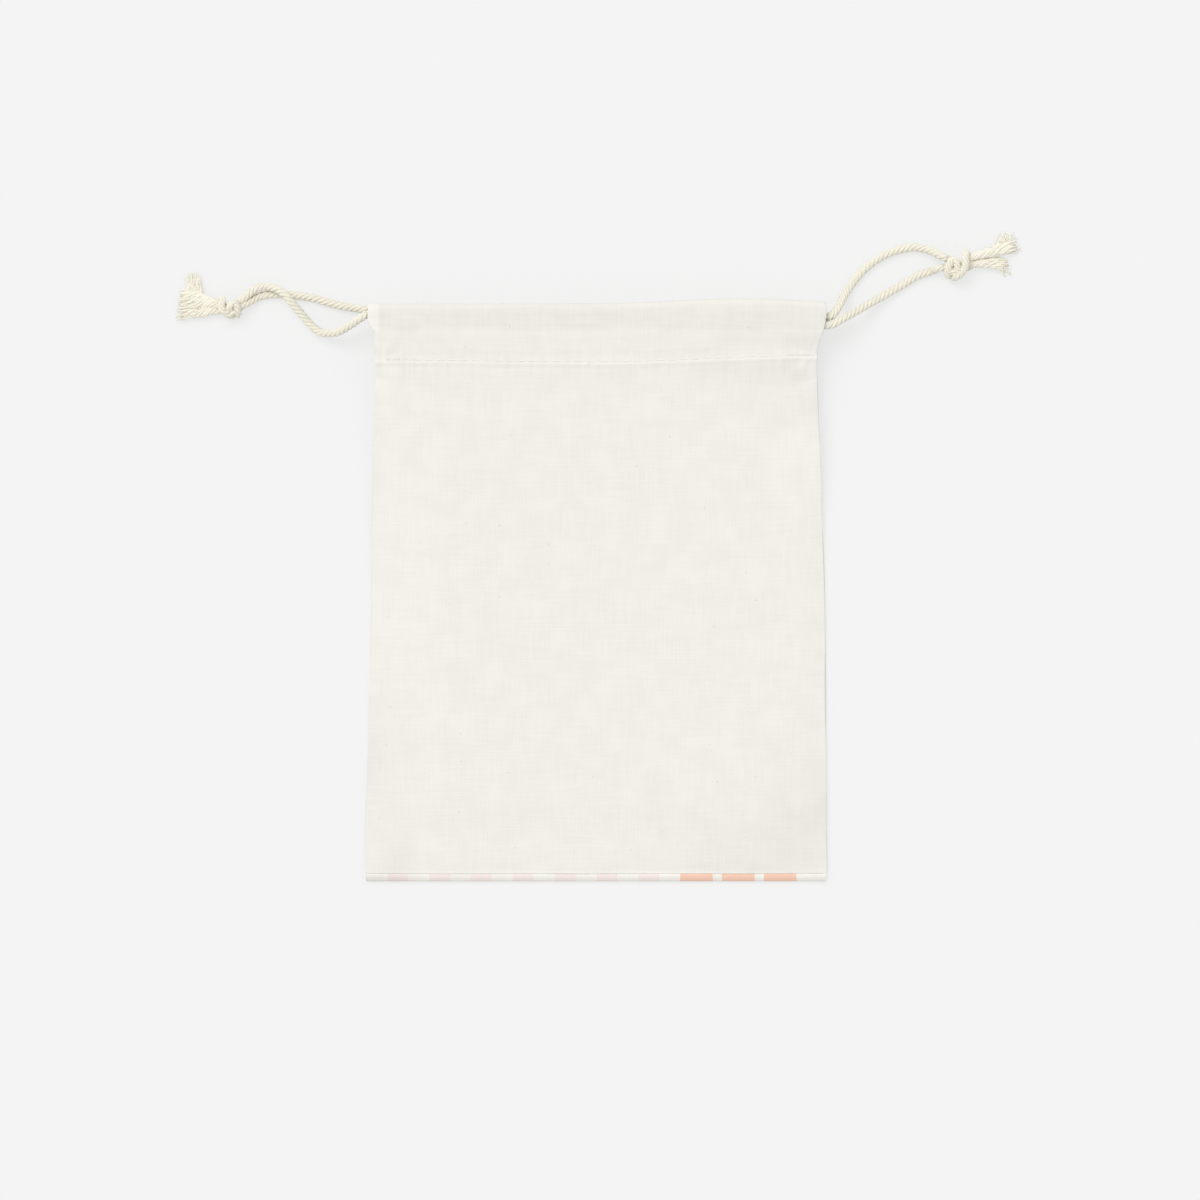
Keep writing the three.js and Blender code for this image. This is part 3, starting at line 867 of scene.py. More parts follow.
@dataclass
class Studio:
    """Camera straight above, pale floor and soft light from the upper left."""

    view_centre: Pair = (1.2, -2.4)
    view_width: float = 416.4
    lens: float = 200.0
    sensor: float = 36.0
    floor_half: float = 2500.0
    dome: float = 0.785
    key: float = 1.38
    key_turn: Point = (-25.0, -20.0, 0.0)
    key_softness: float = 34.0
    backdrop: float = 0.905
    floor_colour: Colour = (0.787, 0.787, 0.787, 1.0)
    floor_shadow: float = 0.26

    def build(self) -> None:
        """Makes the camera, the floor, the lamp and the world."""
        scene = bpy.context.scene
        scene.view_settings.view_transform = "Standard"
        data = bpy.data.cameras.new("view")
        data.lens, data.sensor_width = self.lens, self.sensor
        camera = bpy.data.objects.new("view", data)
        away = self.view_width * self.lens / self.sensor
        camera.location = (self.view_centre[0] * MM, self.view_centre[1] * MM, away * MM)
        scene.collection.objects.link(camera)
        scene.camera = camera
        self._floor()
        self._light()

    def _floor(self) -> None:
        """Makes the pale floor, just below the pouch."""
        graph, material, shader = new_material("studio_floor")
        plain = {"Base Color": self.floor_colour, "Roughness": 1.0, "Specular IOR Level": 0.0}
        graph.feed(shader, plain)
        even = graph.add("Emission", {"Color": WHITE, "Strength": self.backdrop})
        share = graph.times(graph.backdrop_rays(), 1 - self.floor_shadow)
        mixed = graph.add("MixShader", {0: share, 1: shader.outputs[0], 2: even.outputs[0]})
        graph.feed(graph.tree.nodes["Material Output"], {"Surface": mixed.outputs[0]})
        mesh = bpy.data.meshes.new("studio_floor")
        half = self.floor_half * MM
        corners = [(-half, -half, 0), (half, -half, 0), (half, half, 0), (-half, half, 0)]
        mesh.from_pydata(corners, [], [(0, 1, 2, 3)])
        mesh.materials.append(material)
        floor = bpy.data.objects.new("studio_floor", mesh)
        bpy.context.scene.collection.objects.link(floor)

    def _light(self) -> None:
        """Makes the even dome, pale to the camera, and one broad lamp."""
        lamp = bpy.data.lights.new("key", "SUN")
        lamp.energy = self.key
        lamp.angle = np.radians(self.key_softness)
        key = bpy.data.objects.new("key", lamp)
        key.rotation_euler = Euler(np.radians(self.key_turn))
        bpy.context.scene.collection.objects.link(key)
        world = bpy.data.worlds.new("studio")
        world.use_nodes = True
        world.node_tree.nodes.clear()
        graph = Graph(world.node_tree)
        extra = graph.times(graph.backdrop_rays(), self.backdrop - self.dome)
        light = graph.add("Background", {"Color": WHITE, "Strength": graph.plus(extra, self.dome)})
        graph.add("OutputWorld", {"Surface": light.outputs[0]})
        bpy.context.scene.world = world


# ---- cloth


class Side(Enum):
    """The two sides of the pouch, as the sign of X."""

    LEFT = -1
    RIGHT = 1

    @property
    def word(self) -> str:
        """Name of the side in lower case."""
        return self.name.lower()

    @property
    def corner(self) -> str:
        """Body that this side's corner of the mouth moves with."""
        return self.word + "_mouth_corner"


class Strip(Enum):
    """Kinds of rows, in their order from the bottom seam up over the fold and down to the hem."""

    SEAM_ALLOWANCE = 0
    SEAM_TURN = 1
    BODY = 2
    CASING = 3
    FOLD = 4
    INNER = 5
    HEM_TURN = 6
    HEM_UNDER = 7


@dataclass(frozen=True)
class ClothSizes:
    """Lines, levels and cloth sizes of the sewn pouch."""

    thick: float = 0.4
    turn: float = 0.25
    bottom_half: float = 80.0
    slit_half: float = 76.5
    edge_in: float = 0.45
    bottom_y: float = -100.0
    front_bottom_y: float = -97.5
    front_turn_y: float = -96.85
    slit_y: float = 75.5
    neck_y: float = 68.0
    stitch_y: float = 80.0
    hem_y: float = 79.0
    full_y: float = 90.0
    fold_y: float = 97.7
    fold_r: float = 2.05
    seam_low_z: float = 1.0
    middle_z: float = 6.8
    layer: float = 0.75
    puff: float = 26.0
    seam_rise: float = 75.0
    climb_reach: float = 12.0
    crown: Hump = Hump(1.9, 50.0, 30.0)
    crown_foot: Rise = Rise(1.0, 86.0, 12.0)
    left_bight: Pair = (67.5, 92.9)
    right_bight: Pair = (75.1, 97.6)
    bight_half: float = 2.2
    bight_ease: float = 2.5
    allowance: float = 8.0
    hem_under: float = 6.0
    stitch: float = 4.0
    hole_reach: float = 0.42
    first_hole: float = -72.5
    last_hole: float = 75.5


@dataclass(frozen=True)
class PanelShape:
    """What sets the front panel apart from the back one."""

    name: str
    up: int
    outer_z: float
    inner_z: float
    flat_z: float
    left_spread: float
    right_spread: float
    left_flap: float
    right_climb: float
    left_climb: float
    column: float
    body_row: float
    # Painted light in the groove of the bottom seam, as a share of the colour.
    groove_pale: float
    seed: int


FRONT = PanelShape("front", 1, 13.35, 9.25, 9.25, 0.2, 3.0, 2.3, 2.2, 0.65, 0.5, 1.1, 0.09, 11)
BACK = PanelShape("back", -1, 0.25, 4.35, 0.25, 0.4, 1.5, 2.0, 0.0, 0.0, 1.0, 1.5, 0.2, 29)


@dataclass(frozen=True)
class Outline:
    """Where the side edges leave a straight taper, at places along Y."""

    left_waist: Hump = Hump(-0.55, -26.0, 30.0)
    left_foot: Hump = Hump(0.5, -92.0, 16.0)
    right_belly: Hump = Hump(0.65, 0.0, 42.0)
    left_spread: Rise = Rise(1.0, 75.5, 10.0)
    left_flap: Rise = Rise(1.0, 89.4, 4.6)
    left_pinch: Hump = Hump(-0.3, 76.3, 2.0)
    right_spread: Rise = Rise(1.0, 80.5, 17.0)
    right_end: Rise = Rise(-0.6, 96.5, 3.5)
    wave: Rise = Rise(0.22, -100.0, 20.0)
    wave_reach: Pair = (11.0, 29.0)
    wave_shift: float = 1.3
    taper: float = 1.5


@dataclass(frozen=True)
class Relief:
    """Heights of the cloth's folds and seams, at distances above the stitching or along Y."""

    body: Rise = Rise(1.0, -1.0, -5.0)
    casing: Rise = Rise(1.0, 1.0, 4.0)
    soft: float = 0.20
    soft_waves: Pair = (90.0, 24.0)
    fine: float = 0.05
    fine_waves: Pair = (22.0, 7.0)
    side_seam: Rise = Rise(0.10, 3.1, -2.5)
    below_slit: Rise = Rise(1.0, 3.0, -3.0)
    foot_seam: Rise = Rise(0.08, 2.9, -2.5)
    ripple: float = 0.13
    ripple_waves: Point = (17.0, 5.0, 2.6)
    broken: float = 0.7
    broken_waves: Point = (30.0, 9.0, 0.4)
    ridges: tuple[Hump, ...] = (
        Hump(0.07, 92.8, 1.4), Hump(0.07, 96.9, 1.2), Hump(-0.04, 94.9, 0.9)
    )
    sag: Hump = Hump(-0.22, 0.0, 2.6)
    sag_share: float = 0.55
    sag_y: float = 92.0
    hem: tuple[Hump, ...] = (Hump(0.13, -1.2, 0.6), Hump(-0.09, -2.3, 0.9), Hump(-0.09, 0.0, 0.7))
    pucker_end: Rise = Rise(1.0, 3.0, -3.0)
    pucker: Hump = Hump(0.05, 0.0, 7.0)
    needle: float = 0.06
    inner: float = 0.05
    inner_waves: Pair = (24.0, 9.0)
    left_fan: float = 0.06
    right_fan: float = 0.07
    fan_x: float = 74.5
    fan_folds: int = 7
    fan_phase: float = 1.1
    fan: Hump = Hump(1.0, 5.0, 5.5)
    fan_start: Rise = Rise(1.0, 0.0, 3.0)
    back_level: float = -0.15
    back_share: float = 0.7
    back_casing: float = 0.1


@dataclass(frozen=True)
class Tones:
    """Painted light and shade in the cloth's colour: how much paler or deeper it is made, across X,
    along Y or above the stitching.
    """

    # Painted light in the groove of the bottom seam.
    groove: Hump = Hump(1.0, -97.35, 0.4)
    back_foot: Hump = Hump(0.05, -98.6, 0.8)
    back_corner: Rise = Rise(0.07, -60.0, -10.0)
    back_corner_low: Rise = Rise(1.0, -90.0, -4.0)
    right: Rise = Rise(1.0, 20.0, 25.0)
    crest: Rise = Rise(0.033, 90.0, 2.4)
    crest_top: Rise = Rise(-0.6, 98.4, 1.2)
    crest_foot: Hump = Hump(0.014, 93.4, 2.2)
    streaks: float = 0.2
    streak_lean: float = 0.7
    streak_seed: int = 61
    streak_waves: Pair = (9.0, 2.5)
    waver: float = 0.8
    waver_seed: int = 63
    waver_waves: Pair = (26.0, 8.0)
    slope: float = 0.036
    slope_middle: Hump = Hump(0.026, 86.3, 2.4)
    slope_foot: Rise = Rise(1.0, -0.2, 0.8)
    slope_top: Rise = Rise(1.0, 90.6, -2.2)
    slope_right: Rise = Rise(-0.6, 62.0, 10.0)
    hem: Hump = Hump(0.04, -3.2, 1.8)
    hem_end: Rise = Rise(1.0, 72.0, -8.0)
    under: Hump = Hump(0.025, -6.5, 3.5)
    under_right: float = -0.8
    feet: Hump = Hump(0.075, -3.5, 3.2)
    feet_ends: Rise = Rise(1.0, 66.0, 6.0)
    low: Rise = Rise(0.085, -72.0, -20.0)
    low_left: Rise = Rise(1.0, -70.0, 12.0)
    low_right: Rise = Rise(1.0, 70.0, -8.0)
    low_share: float = -0.5
    rim: Rise = Rise(0.065, 50.0, 22.0)
    rim_top: Rise = Rise(1.0, 64.0, -14.0)
    rim_foot: Rise = Rise(1.0, -95.0, 60.0)
    lower_left: Rise = Rise(0.048, -55.0, -20.0)
    lower_left_middle: Hump = Hump(1.0, -55.0, 25.0)
    flap: Rise = Rise(0.085, -74.6, -1.2)
    flap_foot: Rise = Rise(1.0, 89.5, 2.5)
    line: Hump = Hump(0.03, -0.4, 0.7)
    line_right: Rise = Rise(1.0, -30.0, 50.0)
    # Share of painted shade in the needle holes, more of it towards the ends of the stitching.
    hole: float = 0.07
    end_holes: Rise = Rise(0.31, 61.0, 7.0)


BACK_ROLL = np.array([
    (-97.1, 0.80), (-97.3, 0.92), (-97.4, 1.2), (-97.44, 1.56), (-97.66, 1.77), (-99.25, 1.72),
    (-99.62, 1.5), (-99.75, 1.0), (-99.6, 0.45), (-99.0, 0.25),
])
BACK_ALLOWANCE_Z = 0.76


@dataclass
class HalfPanel:
    """One half of a panel, from its middle line to its turned-in side edge.

    Each panel is made as two halves that meet on the middle line.
    """

    shape: PanelShape
    side: Side
    sizes: ClothSizes = field(default_factory=ClothSizes)
    outline: Outline = field(default_factory=Outline)
    relief: Relief = field(default_factory=Relief)
    # Painted light and shade in the cloth's colour.
    tones: Tones = field(default_factory=Tones)
    turn_steps: int = 8
    allowance_columns: int = 9
    allowance_rows: int = 7
    seam_turn_rows: int = 13
    full_rows: int = 12
    fold_rows: int = 15
    inner_rows: int = 20
    hem_turn_rows: int = 8
    hem_under_rows: int = 6

    def __post_init__(self) -> None:
        """Works out the rows and columns and the points of the sheet."""
        self._lay_rows()
        self._lay_columns()
        self._lay_sheet()

    # ---- Rows

    def _lay_rows(self) -> None:
        """Lists the rows: kind, place along Y, angle of a turn, and the sides' cut-back."""
        s = self.sizes
        step = 0.8 * self.shape.column
        blocks = []

        def block(
            kind: Strip, y: Array | float, angle: Array | float = 0.0, cut: Array | float = 0.0
        ) -> None:
            """Adds rows of one kind."""
            blocks.append(np.stack(np.broadcast_arrays(kind.value, y, angle, cut), axis=1))

        inward = np.linspace(s.allowance, 0.9, self.allowance_rows)
        block(Strip.SEAM_ALLOWANCE, s.front_turn_y + inward, cut=inward + 0.6)
        block(Strip.SEAM_TURN, s.front_turn_y, np.linspace(180, 18, self.seam_turn_rows))
        low = np.arange(s.front_turn_y, s.neck_y + 4, self.shape.body_row)
        high = np.arange(low[-1] + 0.4, s.stitch_y - 0.1, step)
        block(Strip.BODY, np.concatenate([low, high, [s.stitch_y]]))
        block(Strip.CASING, np.arange(s.stitch_y + step, s.full_y, step))
        block(Strip.CASING, np.linspace(s.full_y, s.fold_y, self.full_rows)[:-1])
        block(Strip.FOLD, s.fold_y, np.linspace(0, 180, self.fold_rows))
        down = np.linspace(s.fold_y - 0.8, s.stitch_y + 0.5, self.inner_rows)
        block(Strip.INNER, np.concatenate([down, [s.stitch_y, s.hem_y + 0.4]]))
        block(Strip.HEM_TURN, s.hem_y, np.linspace(0, 180, self.hem_turn_rows))
        back = np.linspace(0.7, s.hem_under, self.hem_under_rows)
        block(Strip.HEM_UNDER, s.hem_y + back, cut=np.minimum(back + 0.3, s.allowance + 0.6))
        kind, self.row_y, angle, self.row_cut = np.concatenate(blocks).T
        self.kind, self.row_angle = kind.astype(int), np.radians(angle)

    def rows_of(self, *kinds: Strip) -> Flags:
        """Flags the rows of the given kinds."""
        return np.isin(self.kind, [kind.value for kind in kinds])

    def row_at(self, y: float, *kinds: Strip) -> int:
        """Number of the row of the given kinds that is nearest to y."""
        away = np.where(self.rows_of(*kinds), np.abs(self.row_y - y), np.inf)
        return int(np.argmin(away))

    # ---- Columns

    def _lay_columns(self) -> None:
        """Lists the columns as shares of the half width, so that stitches fall on columns."""
        half = self.half_width(np.array([self.sizes.stitch_y]))[0]
        shares = np.arange(0, half - 0.3 * self.shape.column, self.shape.column) / half
        self.share = np.concatenate([[-shares[1]], shares, [1.0]])

    def half_width(self, y: Array) -> Array:
        """Distance of the outermost cloth from the middle line, at heights along Y.

        From the bottom to the foot of the slit it narrows by a power of the rise, with a wide
        low hump on each side. Above that it spreads again by an eased step. The edge also waves
        a little, and at the left it is pinched in at the foot of the slit, where the seam ends,
        and a flap sticks out by the fold.
        """
        s, shape, out = self.sizes, self.shape, self.outline
        rise = np.clip((y - s.bottom_y) / (s.slit_y - s.bottom_y), 0, 1)
        body = mix(s.bottom_half, s.slit_half, rise**out.taper)
        if self.side is Side.LEFT:
            body = body + out.left_waist.at(y) + out.left_foot.at(y)
            ends = shape.left_spread * out.left_spread.at(y) + out.left_pinch.at(y)
            ends = ends + shape.left_flap * out.left_flap.at(y)
        else:
            body = body + out.right_belly.at(y)
            ends = shape.right_spread * out.right_spread.at(y) + out.right_end.at(y)
        short, long = out.wave_reach
        wave = np.sin(y / short + self.side.value * out.wave_shift) * np.cos(y / long + shape.up)
        edge = np.where(y <= s.slit_y, body, s.slit_half + ends)
        return edge + out.wave.at(y) * wave - s.edge_in

    # ---- Middle of the cloth

    def seam_z(self, y: Array) -> Array:
        """Height of the side seam, which climbs from near the table to half the mouth's height."""
        s = self.sizes
        return mix(s.seam_low_z, s.middle_z, smooth(1 + (y - s.slit_y) / s.seam_rise))

    def _body_z(self, u: Array, y: Array) -> Array:
        """Middle of the cloth in the body and up to the stitching.

        Between its side seam and the flat it rises as a quarter of a sine wave over the puff
        distance. Towards the stitching it eases over to the level of the stitching.
        """
        s, shape = self.sizes, self.shape

        def quarter(distance: Array) -> Array:
            """Quarter of a sine wave over the puff distance."""
            return np.sin(np.pi / 2 * np.clip(distance / s.puff, 0, 1))

        side = quarter((1 - np.abs(u)) * self.half_width(y))
        foot = quarter(y - s.front_bottom_y) if shape.up > 0 else 1.0
        body = mix(self.seam_z(y) + shape.up * s.layer, shape.flat_z, side * foot)
        start = mix(s.slit_y - 2.5, s.neck_y, side)
        return mix(body, self._stitch_z(), smooth((y - start) / (s.stitch_y - start)))

    def _stitch_z(self) -> float:
        """Height of the outer layer at the stitching."""
        return self.shape.inner_z + self.shape.up * 2 * self.sizes.layer

    def _climb(self, u: Array, y: Array) -> Array:
        """How far the stitching climbs towards its end, fading away from its line."""
        near = 1 - smooth(np.abs(y - self.sizes.stitch_y) / self.sizes.climb_reach)
        most = self.shape.left_climb if self.side is Side.LEFT else self.shape.right_climb
        return most * smooth(u) * near

    def stitch_line(self, u: Array) -> Array:
        """Place along Y of the stitching, at shares of the half width."""
        level = np.full(u.shape, self.sizes.stitch_y)
        return level + self._climb(u, level)

    def _roll_line(self, angle: Array, y: Array, allowance: Flags) -> tuple[Array, Array]:
        """Back panel's bottom: up round the edge, then down into the seam beside the front.

        Args:
            angle: angle of the turn, from 180 degrees at the seam to 0 at the body.
            y: place of an allowance row.
            allowance: which rows are the allowance.

        Returns:
            Y and Z of the middle of the cloth.
        """
        at, known = 1 - angle / np.pi, np.linspace(0, 1, len(BACK_ROLL))
        rolled = [np.interp(at, known, column) for column in BACK_ROLL.T]
        return np.where(allowance, y, rolled[0]), np.where(allowance, BACK_ALLOWANCE_Z, rolled[1])

    def _plain(self, u: Array) -> Array:
        """Middle of the cloth before its relief.

        Args:
            u: share of the half width, from the middle line outwards, on rows and columns.

        Returns:
            Points on rows and columns.
        """
        s, shape = self.sizes, self.shape
        y = np.broadcast_to(self.row_y[:, None], u.shape).copy()
        angle = np.broadcast_to(self.row_angle[:, None], u.shape)
        turn, up = s.turn, shape.up
        z = self._body_z(u, y)
        if up > 0:
            z[self.rows_of(Strip.SEAM_ALLOWANCE)] -= up * 2 * turn
            rows = self.rows_of(Strip.SEAM_TURN)
            z[rows] -= turn * (1 - np.cos(angle[rows]))
            y[rows] -= turn * np.sin(angle[rows])
        else:
            rows = self.rows_of(Strip.SEAM_TURN, Strip.SEAM_ALLOWANCE)
            allowance = self.rows_of(Strip.SEAM_ALLOWANCE)[rows, None]
            y[rows], z[rows] = self._roll_line(angle[rows], y[rows], allowance)
        rows = self.rows_of(Strip.CASING)
        rise = smooth((y[rows] - s.stitch_y) / (s.full_y - s.stitch_y))
        z[rows] = mix(self._stitch_z(), shape.outer_z, rise)
        rows = self.rows_of(Strip.FOLD)
        z[rows] = (shape.outer_z + shape.inner_z) / 2 + up * s.fold_r * np.cos(angle[rows])
        y[rows] += s.fold_r * np.sin(angle[rows])
        z[self.rows_of(Strip.INNER)] = shape.inner_z
        rows = self.rows_of(Strip.HEM_TURN)
        z[rows] = shape.inner_z + up * turn * (1 - np.cos(angle[rows]))
        y[rows] -= turn * np.sin(angle[rows])
        z[self.rows_of(Strip.HEM_UNDER)] = shape.inner_z + up * 2 * turn
        reach = self.half_width(y) - self.row_cut[:, None] - self._tuck(y, angle)
        x = self.side.value * u * reach
        crown = s.crown.at(x) * s.crown_foot.at(y)
        return np.stack([x, y + self._climb(u, y) + crown, z], axis=-1)

    def _tuck(self, y: Array, angle: Array) -> Array:
        """How far the bight of the other side's cord draws in the casing's inner layer."""
        s = self.sizes
        reach, bight_y = s.left_bight if self.side is Side.LEFT else s.right_bight
        near = 1 - smooth((np.abs(y - bight_y) - s.bight_half) / s.bight_ease)
        fold = self.rows_of(Strip.FOLD)[:, None] * smooth(angle / (np.pi / 2) - 1)
        inner = np.where(self.rows_of(Strip.INNER)[:, None], 1.0, fold)
        return np.maximum(self.half_width(y) - reach, 0) * near * inner

    def _normals(self, points: Array) -> Array:
        """Direction of the cloth's own outside at each point of a grid, from its neighbours."""
        across = np.gradient(points, axis=1)
        along = np.gradient(points, axis=0)
        return unit(np.cross(across, along)) * self.side.value * self.shape.up

    # ---- Relief

    def _relief(self, x: Array, y: Array, u: Array) -> Array:
        """Height of the cloth's folds, seams, ridges and puckers above its plain shape.

        Args:
            x: places across the pouch.
            y: places along the pouch.
            u: share of the half width.

        Returns:
            Height along the cloth's outside direction.
        """
        s, seed, r = self.sizes, self.shape.seed, self.relief
        line = self.stitch_line(u)
        high = y - line
        edge = (1 - np.abs(u)) * self.half_width(y)
        body = r.body.at(high)
        soft = r.soft * waves(x, y, seed, *r.soft_waves)
        soft = soft + r.fine * waves(x, y, seed + 1, *r.fine_waves)
        seams = r.side_seam.at(edge - s.allowance) * r.below_slit.at(y - s.slit_y)
        foot = r.foot_seam.at(y - s.front_turn_y - s.allowance)
        broken = 1 + r.broken * waves(x, y, seed + 3, *r.broken_waves)
        folds = r.ripple * waves(x, y, seed + 2, *r.ripple_waves)
        folds = folds + sum(ridge.at(y) for ridge in r.ridges) * broken
        folds = folds + r.sag.at(y - mix(line, r.sag_y, r.sag_share))
        hem = sum(part.at(high) for part in r.hem)
        pucker = r.pucker_end.at(high) * r.pucker.at(np.minimum(high, 0))
        pucker = pucker * np.cos(2 * np.pi * x / s.stitch)
        total = soft * body + seams + foot + folds * r.casing.at(high) + hem + pucker
        total = total + self._end_folds(x, high) - r.needle * self.needle_marks(x, high)
        if self.shape.up > 0:
            return total
        return r.back_level - np.abs(total) * r.back_share * body - r.back_casing * (1 - body)

    def _end_folds(self, x: Array, high: Array) -> Array:
        """Short folds that fan out from the ends of the stitching, where the slit pulls."""
        r = self.relief
        size = r.right_fan if self.side is Side.RIGHT else r.left_fan
        dx = x - self.side.value * r.fan_x
        away = np.hypot(dx, high)
        turn = np.arctan2(high, np.abs(dx) + 1e-6)
        folds = np.sin(r.fan_folds * turn + r.fan_phase)
        return size * folds * r.fan.at(away) * r.fan_start.at(away)

    def needle_marks(self, x: Array, high: Array) -> Array:
        """Marks where the needle went in, one stitch apart on the stitching line, 1 at a mark."""
        s = self.sizes
        near = np.round(x / s.stitch) * s.stitch
        inside = (near > s.first_hole) & (near < s.last_hole)
        return bump(np.hypot(x - near, high), s.hole_reach) * inside

    # ---- Sheet

    def _dressed(self, u: Array, folded: bool) -> tuple[Array, Array, Array]:
        """Points with their relief, the directions of the cloth's outside, and the plain points.

        Args:
            u: share of the half width on rows and columns.
            folded: whether the cloth is folded back here, so that its outside faces inwards.

        Returns:
            The three arrays.
        """
        front = self.shape.up > 0
        plain = self._plain(u)
        x, y = plain[..., 0], plain[..., 1]
        normal = self._normals(plain) * (-1 if folded else 1)
        lift = np.zeros(len(self.kind))
        face = self.rows_of(Strip.BODY, Strip.CASING)
        lift[face] = 1.0
        lift[self.rows_of(Strip.SEAM_ALLOWANCE)] = -1.0 if front else 0.0
        rows = self.rows_of(Strip.SEAM_TURN)
        lift[rows] = np.cos(self.row_angle[rows]) if front else 0.0
        rows = self.rows_of(Strip.FOLD)
        lift[rows] = smooth(np.cos(self.row_angle[rows]))
        height = self._relief(x, y, u) * lift[:, None]
        if not front:
            rise = smooth((y - self.sizes.front_turn_y) / 6)
            height = np.where(face[:, None], height * rise, height)
        inner = self.rows_of(Strip.INNER)[:, None] * self.relief.inner
        height = height + inner * waves(x, y, self.shape.seed + 5, *self.relief.inner_waves)
        points = plain + normal * height[..., None]
        return points, self._normals(points), plain

    def _lay_sheet(self) -> None:
        """Works out the whole grid: the panel, its turned side edge and the allowance inside."""
        s = self.sizes
        u = np.broadcast_to(self.share, (len(self.kind), len(self.share)))
        main, main_normal, plain = [part[:, 1:] for part in self._dressed(u, False)]
        edge, out = main[:, -1:], main_normal[:, -1:]
        sideways = np.zeros_like(out)
        sideways[..., 0] = self.side.value
        sideways = unit(sideways - (sideways * out).sum(-1, keepdims=True) * out)
        angle = np.linspace(0, np.pi, self.turn_steps + 1)[1:, None]
        spoke = out * np.cos(angle) + sideways * np.sin(angle)
        turned = edge - out * s.turn + spoke * s.turn
        from_foot = np.clip(self.row_y - s.front_turn_y - 0.3, 0.6, s.allowance)
        share = np.arange(1, self.allowance_columns + 1) / self.allowance_columns
        width = from_foot[:, None] * share
        inner_u = 1 - width / self.half_width(self.row_y)[:, None]
        under, under_normal, _ = self._dressed(inner_u, True)
        inside = under + under_normal * 2 * s.turn
        self.main, self.main_normal = main, main_normal
        self.grid = np.concatenate([main, turned, inside], axis=1)
        self.normal = np.concatenate([main_normal, spoke, under_normal], axis=1)
        run = distance_along(plain[:, 0])
        start = run[self.row_at(s.front_turn_y, Strip.BODY)]
        across = np.abs(plain[..., 0])
        arc = across[:, -1:] + s.turn * angle[:, 0]
        flat_x = np.concatenate([across, arc, arc[:, -1:] + width], axis=1) * self.side.value
        self.uv = np.stack([flat_x, np.broadcast_to((run - start)[:, None], flat_x.shape)], axis=-1)

    def _tone(self, x: Array, y: Array, high: Array) -> Array:
        """How pale the cloth is at each point, as a share of its colour.

        Painted light in the groove of the bottom seam and, on the front, on the slope of the
        casing, by the slits' feet, below the hem, along the stitching, on the flap, in the lower
        rim and the right one; painted shade on the casing's cord ridge, under its hem at the right,
        in the lower left rim and, on the back, along the top of its rolled edge. The back is also
        made deeper towards its lower left corner.

        Args:
            x: places across the pouch.
            y: places along the pouch.
            high: distances above the stitching.

        Returns:
            Share at each place.
        """
        t = self.tones
        tone = 1 + self.shape.groove_pale * t.groove.at(y)
        if self.shape.up < 0:
            return tone - t.back_foot.at(y) - t.back_corner.at(x) * t.back_corner_low.at(y)
        right = t.right.at(x)
        streaks = waves(x + t.streak_lean * y, y, t.streak_seed, *t.streak_waves)
        uneven = y + t.waver * waves(x, y, t.waver_seed, *t.waver_waves)
        crest = t.crest.at(uneven) * (1 + t.crest_top.at(uneven)) + t.crest_foot.at(uneven)
        slope = (t.slope + t.slope_middle.at(y)) * t.slope_foot.at(high) * t.slope_top.at(y)
        tone = tone + slope * (1 + t.slope_right.at(x))
        tone = tone + t.under.at(high) * (1 + t.under_right * right)
        tone = tone + t.feet.at(high) * t.feet_ends.at(np.abs(x))
        low = t.low.at(y) * t.low_left.at(x) * t.low_right.at(x)
        tone = tone + low * (1 + t.low_share * right)
        tone = tone + t.rim.at(x) * t.rim_top.at(y) * t.rim_foot.at(y)
        tone = tone + t.flap.at(x) * t.flap_foot.at(y) + t.line_right.at(x) * t.line.at(high)
        tone = tone - crest * (1 + t.streaks * streaks) - right * t.hem_end.at(x) * t.hem.at(high)
        return tone - t.lower_left.at(x) * t.lower_left_middle.at(y)

    def build(self, outside: Material, inside: Material) -> bpy.types.Object:
        """Makes the half panel.

        Args:
            outside: finish of the cloth's outside.
            inside: finish of its inside.

        Returns:
            The piece.
        """
        s = self.sizes
        rows, columns, _ = self.grid.shape
        kept = np.ones((rows - 1, columns - 1), bool)
        side_cells = self.main.shape[1] - 1
        kept[: self.row_at(s.front_turn_y, Strip.BODY), side_cells:] = False
        kept[self.row_at(s.hem_y, Strip.INNER):, side_cells:] = False
        turned = self.side.value * self.shape.up < 0
        surface = cloth_shell(self.grid, self.normal, s.thick, kept, self.uv, turned)
        place = surface.marks.pop("grid_place").astype(int) % (rows * columns)
        x, y = self.grid[..., 0], self.grid[..., 1]
        high = y - self.stitch_line(np.abs(x) / s.slit_half)
        stitched = self.rows_of(Strip.BODY, Strip.CASING, Strip.INNER)[:, None]
        # Painted shade in the needle holes, deeper towards the ends of the stitching.
        hole_shade_share = self.tones.hole + self.tones.end_holes.at(np.abs(x))
        holes = self.needle_marks(x, high) * stitched * hole_shade_share
        surface.marks["needle_hole"] = holes.ravel()[place]
        # Painted light and shade, multiplied into the cloth's colour through the tone mark.
        surface.marks["tone"] = self._tone(x, y, high).ravel()[place]
        made = surface.to_object(f"{self.side.word}_{self.shape.name}_panel", [outside, inside])
        follow_corner(made, self.side)
        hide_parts(self.shape.name + "_panel")
        rest = [] if self.shape.up < 0 else [self.side.word + "_back_panel"]
        LOG.info("%s: %d points", made.name, len(surface.points))
        return made


def follow_corner(piece: bpy.types.Object, side: Side) -> None:
    """Bakes a piece's placement into its mesh."""
    side.corner
    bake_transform(piece)


# ---- stitching


